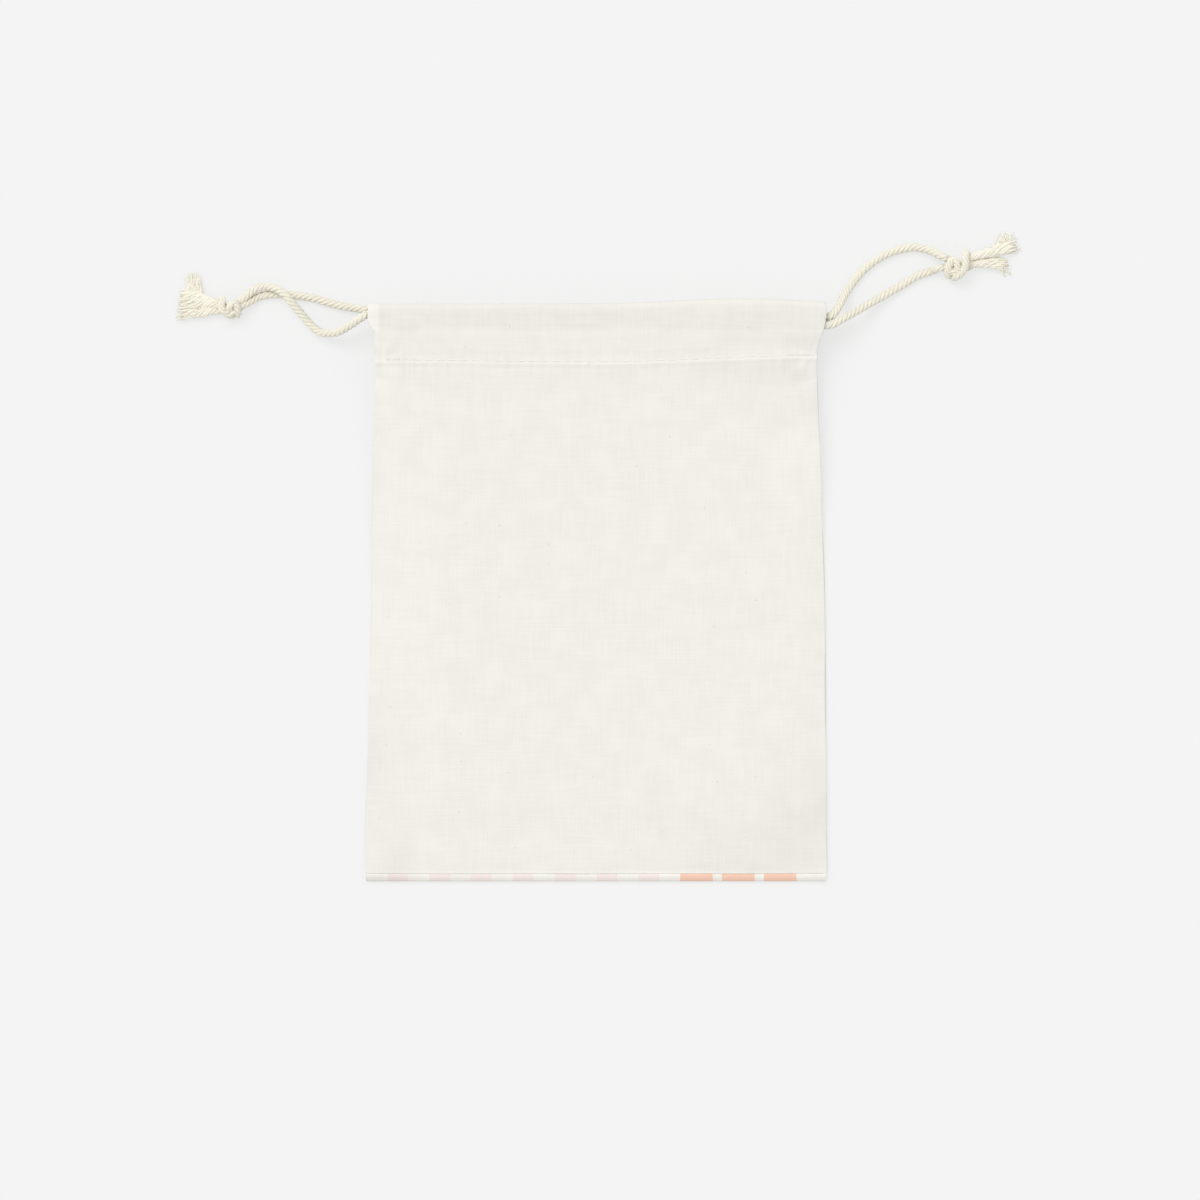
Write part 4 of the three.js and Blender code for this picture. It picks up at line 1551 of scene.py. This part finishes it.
@dataclass
class Stitching:
    """Rows of sewing thread that hold the casings, the seams and the slits."""

    panels: dict[tuple[str, Side], HalfPanel]
    thread: Material
    radius: float = 0.15
    sunk: float = 0.30
    proud: float = 0.05
    half_cloth: float = 0.2
    dip: float = 0.45
    sides: int = 6
    left_end: float = 72.6
    right_end: float = 76.0
    left_again: float = 62.0
    right_again: float = 66.0
    again_off: float = 0.42
    again_stitch: float = 3.2
    again_start: float = 1.3
    fine_step: float = 0.25
    seam_radius: float = 0.12
    seam_stitch: float = 2.5
    seam_waver: float = 0.05
    seam_step: float = 0.6
    seam_in: float = 1.0
    bottom_half: float = 78.5
    bottom_y: float = -96.0
    bottom_z: float = 1.0
    slit_x: float = 71.0
    slit_stitch: float = 3.0

    def _tube(self, line: Array, radius: float) -> Surface:
        """Round thread along a line."""
        return round_tubes(line[None], np.full((1, len(line)), radius), self.sides)

    def _row(self, points: Array, normal: Array, stitch: float, start: float = 0.0) -> Surface:
        """Thread that lies on cloth and dips into it at each needle hole.

        Its height over the cloth's middle is proud plus half the cloth, less a narrow dip at
        every whole stitch.

        Args:
            points: middle of the cloth along the row.
            normal: the cloth's outside there.
            stitch: length of a stitch.
            start: distance of the first point from a hole.

        Returns:
            The thread.
        """
        run = distance_along(points)
        fine = np.linspace(0, run[-1], int(run[-1] / self.fine_step) + 2)
        out = unit(columns_at(fine, run, normal))
        off = fine + start - np.round((fine + start) / stitch) * stitch
        height = self.half_cloth + self.proud - (self.sunk + self.proud) * bump(off, self.dip)
        return self._tube(columns_at(fine, run, points) + out * height[:, None], self.radius)

    def _seam(self, x: Array, y: Array, z: Array, run: Array) -> Surface:
        """Hidden thread that wavers up and down by a cosine, once a stitch."""
        waver = self.seam_waver * np.cos(2 * np.pi * run / self.seam_stitch)
        return self._tube(np.stack([x, y, z + waver], axis=1), self.seam_radius)

    def _make(self, parts: list[Surface], name: str, *nodes: str) -> bpy.types.Object:
        """Makes one piece of thread and hides the imported parts that it stands for."""
        made = Surface.joined(parts).to_object(name, [self.thread])
        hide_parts(*nodes)
        LOG.info("%s: %d rows", name, len(parts))
        return made

    def casing(self, face: str, side: Side) -> None:
        """Sews one half of one casing, seen on the outside and on its inner layer."""
        panel = self.panels[face, side]
        stitch = panel.sizes.stitch
        outer = panel.row_at(panel.sizes.stitch_y, Strip.BODY)
        inner = panel.row_at(panel.sizes.stitch_y, Strip.INNER)
        across = np.abs(panel.main[outer, :, 0])
        last = self.left_end if side is Side.LEFT else self.right_end
        sewn = across < last
        rows = [
            self._row(panel.main[row][sewn], panel.main_normal[row][sewn], stitch)
            for row in (outer, inner)
        ]
        again = sewn & (across > (self.left_again if side is Side.LEFT else self.right_again))
        shifted = panel.main[outer][again] + np.array([0.0, self.again_off, 0.0])
        normal = panel.main_normal[outer][again]
        rows.append(self._row(shifted, normal, self.again_stitch, self.again_start))
        name = f"{side.word}_{face}_casing_stitches"
        follow_corner(self._make(rows, name, face + "_casing_thread"), side)

    def side_seam(self, side: Side) -> None:
        """Sews one side seam, hidden between the panels."""
        panel = self.panels["front", side]
        y = np.arange(panel.sizes.front_turn_y + 2, panel.sizes.slit_y, self.seam_step)
        x = side.value * (panel.half_width(y) - self.seam_in)
        seam = self._seam(x, y, panel.seam_z(y), y)
        name = side.word + "_seam"
        follow_corner(self._make([seam], name + "_stitches", name + "_thread"), side)

    def bottom_seam(self) -> None:
        """Sews the bottom seam, hidden in the turn of the front panel."""
        x = np.arange(-self.bottom_half, self.bottom_half + 0.1, self.seam_step)
        seam = self._seam(x, np.full_like(x, self.bottom_y), np.full_like(x, self.bottom_z), x)
        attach(self._make([seam], "bottom_seam_stitches", "bottom_seam_thread"), "pouch")

    def slit(self, side: Side) -> None:
        """Sews the turned-in edges of one slit, on the faces of both casings towards the mouth."""
        rows = []
        for face in ("front", "back"):
            panel = self.panels[face, side]
            inner = panel.rows_of(Strip.INNER)
            across = np.abs(panel.main[panel.row_at(88, Strip.INNER), :, 0])
            column = int(np.argmin(np.abs(across - self.slit_x)))
            points, normal = panel.main[inner, column], panel.main_normal[inner, column]
            rows.append(self._row(points, normal, self.slit_stitch))
        name = side.word + "_slit"
        follow_corner(self._make(rows, name + "_stitches", name + "_thread"), side)

    def build(self) -> None:
        """Sews every row."""
        for face, side in self.panels:
            self.casing(face, side)
        for side in Side:
            self.side_seam(side)
            self.slit(side)
        self.bottom_seam()


# ---- cords


@dataclass(frozen=True)
class CordSizes:
    """Four-ply cord: round plies of two yarns each, wound round one another."""

    diameter: float = 3.0
    plies: int = 4
    ply: float = 0.70
    offset: float = 0.77
    yarn: float = 0.035
    pitch: float = 7.6
    points_round: int = 56
    step: float = 0.4
    lowest: float = 1.5
    front_z: float = 11.3
    back_z: float = 2.3
    casing_end: float = 79.1
    clear: float = 0.3
    bend: float = 1.9
    pressed: float = 0.86
    tight: float = 0.93


class Rope:
    """Sweeps the cord's section along a line."""

    def __init__(self, sizes: CordSizes) -> None:
        """Keeps the cord's sizes."""
        self.sizes = sizes

    def _slip(self, along: Array, up: Array) -> Array:
        """Angle by which a line's rings turn about it, summed from its start.

        From each ring to the next the ring's up is carried over by the least turn that takes one
        direction of the line to the next. What is left to the next ring's own up is the slip.
        """
        a, b, here, there = along[:-1], along[1:], up[:-1], up[1:]
        share = (b * here).sum(-1) / (1 + (a * b).sum(-1))
        carried = here - share[:, None] * (a + b)
        turn = np.arctan2((np.cross(b, carried) * there).sum(-1), (carried * there).sum(-1))
        return np.concatenate([[0.0], np.cumsum(turn)])

    def rings(self, line: Array, normal: Array, pressed: Array, scale: Array) -> Array:
        """Rings of the section along a line.

        The section's outline is the furthest of the plies' circles from the centre: at an angle a
        from a ply's own direction it is offset cos(a) plus the root of ply squared less the square
        of offset sin(a). Two low waves on each ply are its yarns. It turns once every pitch,
        against the clock, less the slip of the rings.

        Args:
            line: centre line in even steps.
            normal: direction in which a ring's height is measured.
            pressed: share of its height that the section keeps.
            scale: size of the section.

        Returns:
            Points, indexed by step, place round the ring and axis.
        """
        s = self.sizes
        along = unit(np.gradient(line, axis=0))
        up = unit(normal - (normal * along).sum(-1, keepdims=True) * along)
        side = np.cross(along, up)
        own = ring_angles(s.points_round)
        part = 2 * np.pi / s.plies
        lean = np.mod(own + part / 2, part) - part / 2
        radius = s.offset * np.cos(lean) + np.sqrt(s.ply**2 - (s.offset * np.sin(lean)) ** 2)
        radius = radius - s.yarn * np.cos(2 * s.plies * own)
        wound = 2 * np.pi * distance_along(line) / s.pitch + self._slip(along, up)
        angle = own[None] - wound[:, None]
        tall = radius * np.cos(angle) * pressed[:, None]
        wide = radius * np.sin(angle)
        spread = up[:, None] * tall[..., None] + side[:, None] * wide[..., None]
        return line[:, None] + spread * scale[:, None, None]

    def surface(self, rings: Array) -> Surface:
        """Closed surface over the rings, with UV that follows the plies."""
        return tube_surface(rings[None], distance_along(rings.mean(axis=1))[None])


@dataclass(frozen=True)
class Fray:
    """Frayed end of a cord.

    Rows of the line are out, along, height, half width and half height, the last three in cord
    diameters. The tuft's fibres end near its own point, given as out, along and height.
    """

    line: tuple[tuple[float, ...], ...]
    tuft: Point
    tuft_fibres: int
    seed: int


@dataclass(frozen=True)
class KnotShape:
    """Overhand knot in both ropes at once.

    Paths are in the knot's own frame: away from the pouch, along Y, and up from its centre. The
    first carries the front strand on, the second the back strand.
    """

    centre: Point
    paths: tuple[tuple[Point, ...], ...]
    stretch: Point
    turn: float


@dataclass(frozen=True)
class CordRoute:
    """Where one cord lies.

    Rows of its strands are out from the casing, along Y, and height in diameters. Inside it runs
    at three places along Y: the front run's middle, the bight's and the back run's.
    """

    side: Side
    y: float
    front: tuple[Point, ...]
    back: tuple[Point, ...]
    runs: Point
    bight_x: float
    knot: KnotShape
    upper: Fray
    lower: Fray


BAND_ROPE = (
    (-2.4, 1.8, -0.1), (-1.0, 0.6, 1.2), (1.2, 0.3, -0.6), (3.0, 1.6, -0.9), (3.8, 3.0, -0.3),
    (3.2, 4.4, 0.7), (2.8, 4.0, 2.0), (2.75, 2.4, 2.6), (2.75, 0.6, 2.7), (2.3, -1.2, 2.5),
    (1.2, -2.8, 1.9), (-0.4, -3.9, 0.9), (-1.0, -4.0, -0.5), (-0.2, -3.4, -1.8), (1.4, -2.2, -2.4),
    (3.2, -0.6, -2.2), (5.0, 0.2, -1.8),
)
LOOP_ROPE = (
    (-2.6, -1.5, 0.3), (-1.3, -2.1, 1.4), (0.2, -2.3, 0.9), (1.5, -2.4, 0.5), (1.1, -1.9, 1.5),
    (0.1, -0.7, 2.3), (-0.2, 0.7, 2.8), (-0.7, 1.7, 2.8), (-1.6, 2.0, 2.5), (-2.5, 0.9, 2.3),
    (-2.9, -0.7, 1.8), (-3.1, -2.3, 0.8), (-2.9, -3.3, -0.5), (-1.6, -2.6, -1.9),
    (0.2, -1.4, -2.5), (2.0, 0.6, -2.2), (3.4, 2.2, -1.3), (5.0, 3.0, -0.6),
)

LEFT_CORD = CordRoute(
    side=Side.LEFT,
    y=96.7,
    front=(
        (0.3, -0.5, 3.77), (1.6, -1.3, 3.72), (3.4, -2.4, 3.55), (5.1, -3.5, 3.25),
        (8.0, -5.3, 2.75), (10.6, -6.5, 2.25), (13.3, -6.8, 1.73), (16.6, -6.3, 1.12),
        (20.2, -3.5, 0.9), (23.4, 0.3, 1.2), (26.6, 4, 1.62), (28.6, 6.5, 1.69),
        (31.9, 8.7, 1.42), (35.6, 9.5, 1), (39.3, 8.6, 1.14),
    ),
    back=(
        (0.3, 1.3, 0.8), (1.6, 1.5, 0.9), (3.2, 1.8, 0.8), (5.8, 2.2, 0.6), (8.5, 2.7, 0.52),
        (13.8, 4, 0.52), (19.1, 5.6, 0.52), (24.5, 6.4, 0.52), (28.2, 6.7, 0.52),
        (31.9, 6.9, 0.52), (35.1, 6.7, 0.52), (38.3, 5.9, 0.52),
    ),
    runs=(97.0, 97.6, 98.0),
    bight_x=77.7,
    knot=KnotShape(
        centre=(48.0, 2.1, 1.26),
        paths=(
            ((-4.6, 5.4, 0.2), (-3.0, 3.4, 0.0), *BAND_ROPE),
            ((-5.2, 2.4, -0.6), (-3.8, 0.9, -0.3), *LOOP_ROPE),
        ),
        stretch=(0.97, 0.64, 0.86),
        turn=4.0,
    ),
    upper=Fray(
        (
            (51.0, 3.0, 1.1, 0.46, 0.46), (54.5, 4.0, 0.95, 0.64, 0.45),
            (58.8, 4.9, 0.72, 0.94, 0.4), (62, 5.4, 0.52, 1.08, 0.35), (65.9, 5.5, 0.42, 1.1, 0.28),
        ),
        (61.0, 13.2, 0.5), 24, 5,
    ),
    lower=Fray(
        (
            (51.0, 1.3, 0.8, 0.46, 0.46), (55, 1.5, 0.7, 0.64, 0.46), (59.5, 1.5, 0.55, 0.9, 0.4),
            (63, 1.6, 0.45, 1.0, 0.35), (66.0, 1.6, 0.4, 1.0, 0.28),
        ),
        (65.0, -1.6, 0.4), 5, 6,
    ),
)
RIGHT_CORD = CordRoute(
    side=Side.RIGHT,
    y=93.2,
    front=(
        (0.3, -0.7, 3.77), (1.7, -0.6, 3.75), (3.1, -0.1, 3.7), (5.4, 1.3, 3.5), (10, 3.9, 2.65),
        (16.7, 7.8, 1.4), (22, 10.8, 0.75), (27.3, 13.9, 0.52), (32.6, 17.0, 0.52),
        (37.4, 18.5, 0.55),
    ),
    back=(
        (-2.4, 1.2, 0.8), (-1.5, 1.5, 1.7), (-0.6, 1.8, 2.7), (0.4, 2.1, 3.3), (1.7, 2.5, 3.45),
        (3.1, 3.7, 3.3), (4.5, 5.8, 2.75), (5.6, 7.9, 1.95), (6.7, 10.0, 1.2), (8.7, 13, 0.6),
        (12.5, 17.8, 0.52), (16.2, 21.1, 0.52), (20.4, 23.8, 0.52), (25.2, 25.6, 0.52),
        (30.5, 26.7, 0.52), (35.3, 25.9, 0.6),
    ),
    runs=(92.7, 92.9, 93.4),
    bight_x=74.9,
    knot=KnotShape(
        centre=(45.8, 20.1, 1.4),
        paths=(
            ((-6.4, -0.8, -0.6), (-4.6, -0.6, -0.3), *LOOP_ROPE),
            ((-5.2, 3.3, 0.2), (-3.5, 2.5, 0.0), *BAND_ROPE),
        ),
        stretch=(1.0, 1.0, 0.95),
        turn=0.0,
    ),
    upper=Fray(
        (
            (49.6, 23.1, 1.3, 0.47, 0.46), (53.5, 23.9, 1.1, 0.48, 0.46),
            (58.4, 25.2, 0.8, 0.64, 0.42), (62.6, 26.5, 0.6, 0.82, 0.36),
            (67, 27.5, 0.45, 0.8, 0.28),
        ),
        (63.2, 30.8, 0.5), 10, 7,
    ),
    lower=Fray(
        (
            (49.6, 20.7, 0.9, 0.47, 0.46), (53, 21.1, 0.8, 0.48, 0.46),
            (57.5, 21.3, 0.65, 0.6, 0.42), (61, 20.9, 0.5, 0.72, 0.34),
            (63.8, 20.0, 0.42, 0.76, 0.26),
        ),
        (62.6, 18.0, 0.4), 4, 8,
    ),
)


@dataclass
class DrawCord:
    """One cord: two free strands, the run through both casings, the knot and its frayed ends."""

    route: CordRoute
    finishes: Finishes
    sizes: CordSizes = field(default_factory=CordSizes)
    tail_step: float = 0.5
    tail_yarns: int = 21
    tail_fibres: int = 18
    core_sides: int = 20
    yarn_sides: int = 8
    fibre_sides: int = 4
    tuft_sides: int = 5
    fibre_radius: float = 0.11
    fibres_from: float = 0.45
    golden_turn: float = 2.399963
    core_length: float = 0.96
    core_width: float = 0.92
    core_height: float = 0.72
    core_tip: float = 0.15
    yarn_in: float = 0.22
    yarn_wave: float = 0.16
    yarn_wound: float = 6.4
    tuft_sizes: Point = (0.2, 0.28, 0.36)

    def __post_init__(self) -> None:
        """Sets the name and the section."""
        self.name = self.route.side.word + "_cord"
        self.sign = self.route.side.value
        self.rope = Rope(self.sizes)

    def place(self, rows: Array) -> Array:
        """Places of rows of out, along and height in diameters."""
        rows = np.asarray(rows, float)
        x = self.sign * (self.sizes.casing_end + rows[:, 0])
        return np.stack([x, self.route.y + rows[:, 1], rows[:, 2] * self.sizes.diameter], axis=1)

    def _inside(self) -> Array:
        """Points of the centre line through the front casing, round the far slit and back."""
        s, reach, near, far = self.sizes, self.route.bight_x, self.sign, -self.sign
        front_y, bight_y, back_y = self.route.runs
        low, high = s.back_z, s.front_z
        cut = s.bend * (1 - np.sqrt(0.5))
        quarter = np.array([
            (reach - s.bend - 4, bight_y, 0), (reach - s.bend, bight_y, 0),
            (reach - cut, bight_y, cut), (reach, bight_y, s.bend),
        ])
        down = quarter * (far, 1, -1) + (0, 0, high)
        back = quarter[::-1] * (far, 1, 1) + (0, 0, low)
        start = [(near * 70, front_y, high), (near * 30, front_y, high), (far * 30, front_y, high)]
        end = [(far * 30, back_y, low), (near * 30, back_y, low), (near * 70, back_y, low)]
        return np.vstack([start, down, back, end])

    def _knot_paths(self) -> list[Array]:
        """Points of the two ropes in the knot, in the order of the strands that they carry on."""
        shape = self.route.knot
        centre = self.place([shape.centre])[0]
        cosine, sine = np.cos(np.radians(shape.turn)), np.sin(np.radians(shape.turn))
        paths = []
        for path in shape.paths:
            out, along, up = (np.array(path) * shape.stretch).T
            turned = [self.sign * (out * cosine - along * sine), out * sine + along * cosine, up]
            paths.append(centre + np.stack(turned, axis=1))
        return paths

    def _normals(self, line: Array, depth: Array) -> Array:
        """Direction of a ring's height along the whole cord.

        Up on the front strand and down on the back one. Inside it is square to the run and to Y,
        so that it turns with the bight. In the knot it leads away from the knot's middle.

        Args:
            line: centre line of the whole cord.
            depth: how far each point is inside the knot, less than 0 before it.

        Returns:
            Direction at each point.
        """
        level = np.zeros_like(line)
        level[:, 2] = np.where(np.arange(len(line)) < len(line) // 2, 1.0, -1.0)
        across = np.zeros_like(line)
        across[:, 1] = -self.sign
        inside = smooth((self.sizes.casing_end - 2 - self.sign * line[:, 0]) / 5)[:, None]
        normal = mix(level, np.cross(unit(np.gradient(line, axis=0)), across), inside)
        centre = self.place([self.route.knot.centre])[0]
        outward = (line - centre) * (1.0, 1.0, 1.3) + level * 0.6
        return mix(normal, outward, smooth(depth / 4 + 0.5)[:, None])

    def build(self) -> None:
        """Makes the pieces of the cord."""
        s = self.sizes
        front_knot, back_knot = self._knot_paths()
        front, back = self.place(self.route.front), self.place(self.route.back)
        points = np.vstack([front_knot[::-1], front[::-1], self._inside(), back, back_knot])
        line, marks = curve_through(points, s.step)
        line[:, 2] = np.maximum(line[:, 2], s.lowest)
        first, last = marks[len(front_knot) - 2], marks[len(points) - len(back_knot) + 1]
        out = self.sign * line[:, 0]
        free = out > s.casing_end + s.clear
        enters, leaves = np.argmin(free), len(line) - 1 - np.argmin(free[::-1])
        run = np.arange(len(line)) * s.step
        depth = np.maximum(run[first] - run, run - run[last])
        pressed = mix(1.0, s.pressed, smooth((s.casing_end - 1 - out) / 3))
        tight = mix(1.0, s.tight, smooth(depth / 6 + 1))
        rings = self.rope.rings(line, self._normals(line, depth), pressed, tight)
        knot = self._piece("knot", [rings[: first + 1], rings[last:]], "knot")
        upper, lower = self._tail("upper", self.route.upper), self._tail("lower", self.route.lower)
        on_cord = [knot, upper, lower]
        self._piece("casing_run", [rings[enters: leaves + 1]], "front_run", "back_run", "bight")
        for name, part in (("front", slice(first, enters + 1)), ("back", slice(leaves, last + 1))):
            path = line[part][::-1] if name == "front" else line[part]
            self._strand(name, rings[part], path, on_cord)

    def _piece(self, name: str, ropes: list[Array], *nodes: str) -> bpy.types.Object:
        """Makes one piece of rope from its rings."""
        surface = Surface.joined([self.rope.surface(rings) for rings in ropes])
        made = surface.to_object(f"{self.name}_{name}", [self.finishes.cord])
        self._attach(made, *(f"{self.name}_{node}" for node in nodes))
        return made

    def _strand(
        self, name: str, rings: Array, line: Array, on_cord: list[bpy.types.Object]
    ) -> None:
        """Args:
            name: front or back.
            rings: its rings.
            line: its centre line from the slit to the knot; not used.
            on_cord: the knot and the frayed ends; not used.
        """
        made = self._piece(name + "_strand", [rings], name + "_strand")

    def _tail(self, which: str, fray: Fray) -> bpy.types.Object:
        """Makes one frayed end: a flat core, yarns that untwist, loose fibres and a tuft."""
        rng = np.random.default_rng(fray.seed)
        rows = np.array(fray.line)
        spine, _ = curve_through(self.place(rows), self.tail_step)
        share, known = np.linspace(0, 1, len(spine)), np.linspace(0, 1, len(rows))
        wide, tall = (columns_at(share, known, rows[:, 3:]) * self.sizes.diameter).T
        yarns = self._yarns(spine, wide, tall, rng)
        fibres = self._fibres(spine, wide, tall, rng)
        tuft = self._tuft(spine, fray, rng)
        solid = spine[: int(self.core_length * len(spine))]
        core = self._core(solid, wide * self.core_width, tall * self.core_height)
        name = f"{self.name}_{which}_tail"
        made = Surface.joined([core, yarns, fibres, tuft]).to_object(name, [self.finishes.fray])
        self._attach(made, name)
        return made

    def _core(self, spine: Array, wide: Array, tall: Array) -> Surface:
        """Flat body of loose cotton along a line, of the given half sizes, round at its tip."""
        steps = len(spine)
        close = np.sqrt(np.clip(np.linspace(1, 0, steps) / self.core_tip, 0.02, 1))[:, None, None]
        angle = ring_angles(self.core_sides)[:, None]
        across = level_side(spine)[:, None] * wide[:steps, None, None] * np.cos(angle)
        lift = np.array([0.0, 0.0, 1.0]) * tall[:steps, None, None] * np.sin(angle)
        rings = spine[:, None] + (across + lift) * close
        rings[..., 2] = np.maximum(rings[..., 2], 0.15)
        return tube_surface(rings[None], distance_along(spine)[None])

    def _sway(
        self, t: Array, low: float, high: float, count: int, rng: np.random.Generator
    ) -> Array:
        """Sine of a seeded number of turns along each tube, with a seeded phase."""
        turns, phase = rng.uniform(low, high, (count, 1)), rng.uniform(0, 6.28, (count, 1))
        return np.sin(2 * np.pi * t * turns + phase)

    def _yarns(self, spine: Array, wide: Array, tall: Array, rng: np.random.Generator) -> Surface:
        """Yarns side by side, wound at the knot and straighter and wavier towards the tip."""
        count = self.tail_yarns
        t = np.linspace(0, 1, len(spine))[None]
        order = np.arange(count)[:, None]
        radius = np.sqrt((order + 0.5) / count)
        angle = self.golden_turn * order + self.yarn_wound * (1 - t) ** 2
        wave = self.yarn_wave * smooth(t * 1.6) * self._sway(t, 2.2, 3.6, count, rng)
        across = radius * np.cos(angle) * (wide - self.yarn_in) + wave
        lift = radius * np.sin(angle) * (tall - self.yarn_in)
        thick = mix(0.33, 0.46, smooth(t * 2.5)) - 0.06 * smooth(t * 2 - 1)
        length = rng.uniform(0.86, 1.0, (count, 1))
        return self._tubes(spine, across, lift, thick, length, self.yarn_sides)

    def _fibres(self, spine: Array, wide: Array, tall: Array, rng: np.random.Generator) -> Surface:
        """Fine loose fibres round the outer half of the end."""
        count = self.tail_fibres
        t = np.linspace(0, 1, len(spine))[None]
        place = rng.uniform(-1, 1, (count, 1))
        lift = rng.uniform(-0.6, 1.0, (count, 1))
        size = rng.uniform(0.2, 0.8, (count, 1)) * t**1.5
        across = place * wide * mix(0.7, 1.12, t) + size * self._sway(t, 1.5, 4.0, count, rng)
        length = rng.uniform(0.92, 1.06, (count, 1))
        radius = np.array([self.fibre_radius])
        sides, first = self.fibre_sides, self.fibres_from
        return self._tubes(spine, across, lift * tall, radius, length, sides, first)

    def _tubes(
        self, spine: Array, across: Array, lift: Array, radius: Array, length: Array,
        sides: int, first: float = 0.0,
    ) -> Surface:
        """Tubes beside a line.

        Args:
            spine: the line.
            across: sideways distance of each tube and step.
            lift: upward distance of each tube and step.
            radius: radius of each tube and step.
            length: share of the line that each tube covers.
            sides: points round a tube.
            first: share of the line at which the tubes begin.

        Returns:
            The closed tubes.
        """
        count, points = len(length), len(spine)
        t = np.linspace(0, 1, max(8, int(points * (1 - first))))[None]
        at = first + (length - first) * t
        index = np.clip(at * (points - 1), 0, points - 1.001)
        low = index.astype(int)
        part, tube = index - low, np.arange(count)[:, None]

        def sampled(values: Array) -> Array:
            """Values at each tube's own places."""
            spread = np.broadcast_to(values, (count, points))
            return spread[tube, low] * (1 - part) + spread[tube, low + 1] * part

        base = np.stack([sampled(column) for column in spine.T], axis=-1)
        base += np.maximum(at - 1, 0)[..., None] * (spine[-1] - spine[-2]) * (points - 1)
        beside = np.stack([sampled(column) for column in level_side(spine).T], axis=-1)
        lines = base + beside * sampled(across)[..., None]
        lines[..., 2] += sampled(lift)
        thin = sampled(radius) * (1 - 0.6 * smooth(t * 12 - 11))
        lines[..., 2] = np.maximum(lines[..., 2], thin + 0.05)
        return round_tubes(lines, thin, sides)

    def _tuft(self, spine: Array, fray: Fray, rng: np.random.Generator) -> Surface:
        """Loose fibres that bend away from the end towards the tuft's own point."""
        count = fray.tuft_fibres * 3
        start = spine[rng.integers(int(len(spine) * 0.45), int(len(spine) * 0.85), count)]
        goal = self.place([fray.tuft])[0] + rng.normal(scale=(1.3, 0.7, 0.2), size=(count, 3))
        middle = (start + goal) / 2 + rng.normal(scale=(0.8, 0.5, 0.3), size=(count, 3))
        middle = (middle + (0, 0, 0.5))[:, None]
        t = np.linspace(0, 1, 12)[None, :, None]
        lines = start[:, None] * (1 - t) ** 2 + 2 * middle * t * (1 - t) + goal[:, None] * t**2
        lines[..., 2] = np.maximum(lines[..., 2], 0.25)
        thick = rng.choice(self.tuft_sizes, size=(count, 1)) * (1 - 0.35 * t[..., 0])
        return round_tubes(lines, thick, self.tuft_sides)

    def _attach(self, piece: bpy.types.Object, *nodes: str) -> None:
        """Ties a piece to the cord's body and hides the imported parts that it stands for."""
        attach(piece, self.name)
        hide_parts(*nodes)
        LOG.info("%s: %d points", piece.name, len(piece.data.vertices))


# ---- the whole pouch


def main() -> None:
    """Builds the studio, the cords, the cloth and the stitching, in that order."""
    logging.basicConfig(level=logging.INFO, format="%(name)s: %(message)s")
    Studio().build()
    finishes = Finishes.make()
    for route in (LEFT_CORD, RIGHT_CORD):
        DrawCord(route, finishes).build()
    panels = {}
    for shape, outside in ((BACK, finishes.printed), (FRONT, finishes.cloth)):
        for side in Side:
            panels[shape.name, side] = HalfPanel(shape, side)
            panels[shape.name, side].build(outside, finishes.cloth)
    Stitching(panels, finishes.thread).build()
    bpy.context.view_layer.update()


if __name__ == "__main__":
    main()
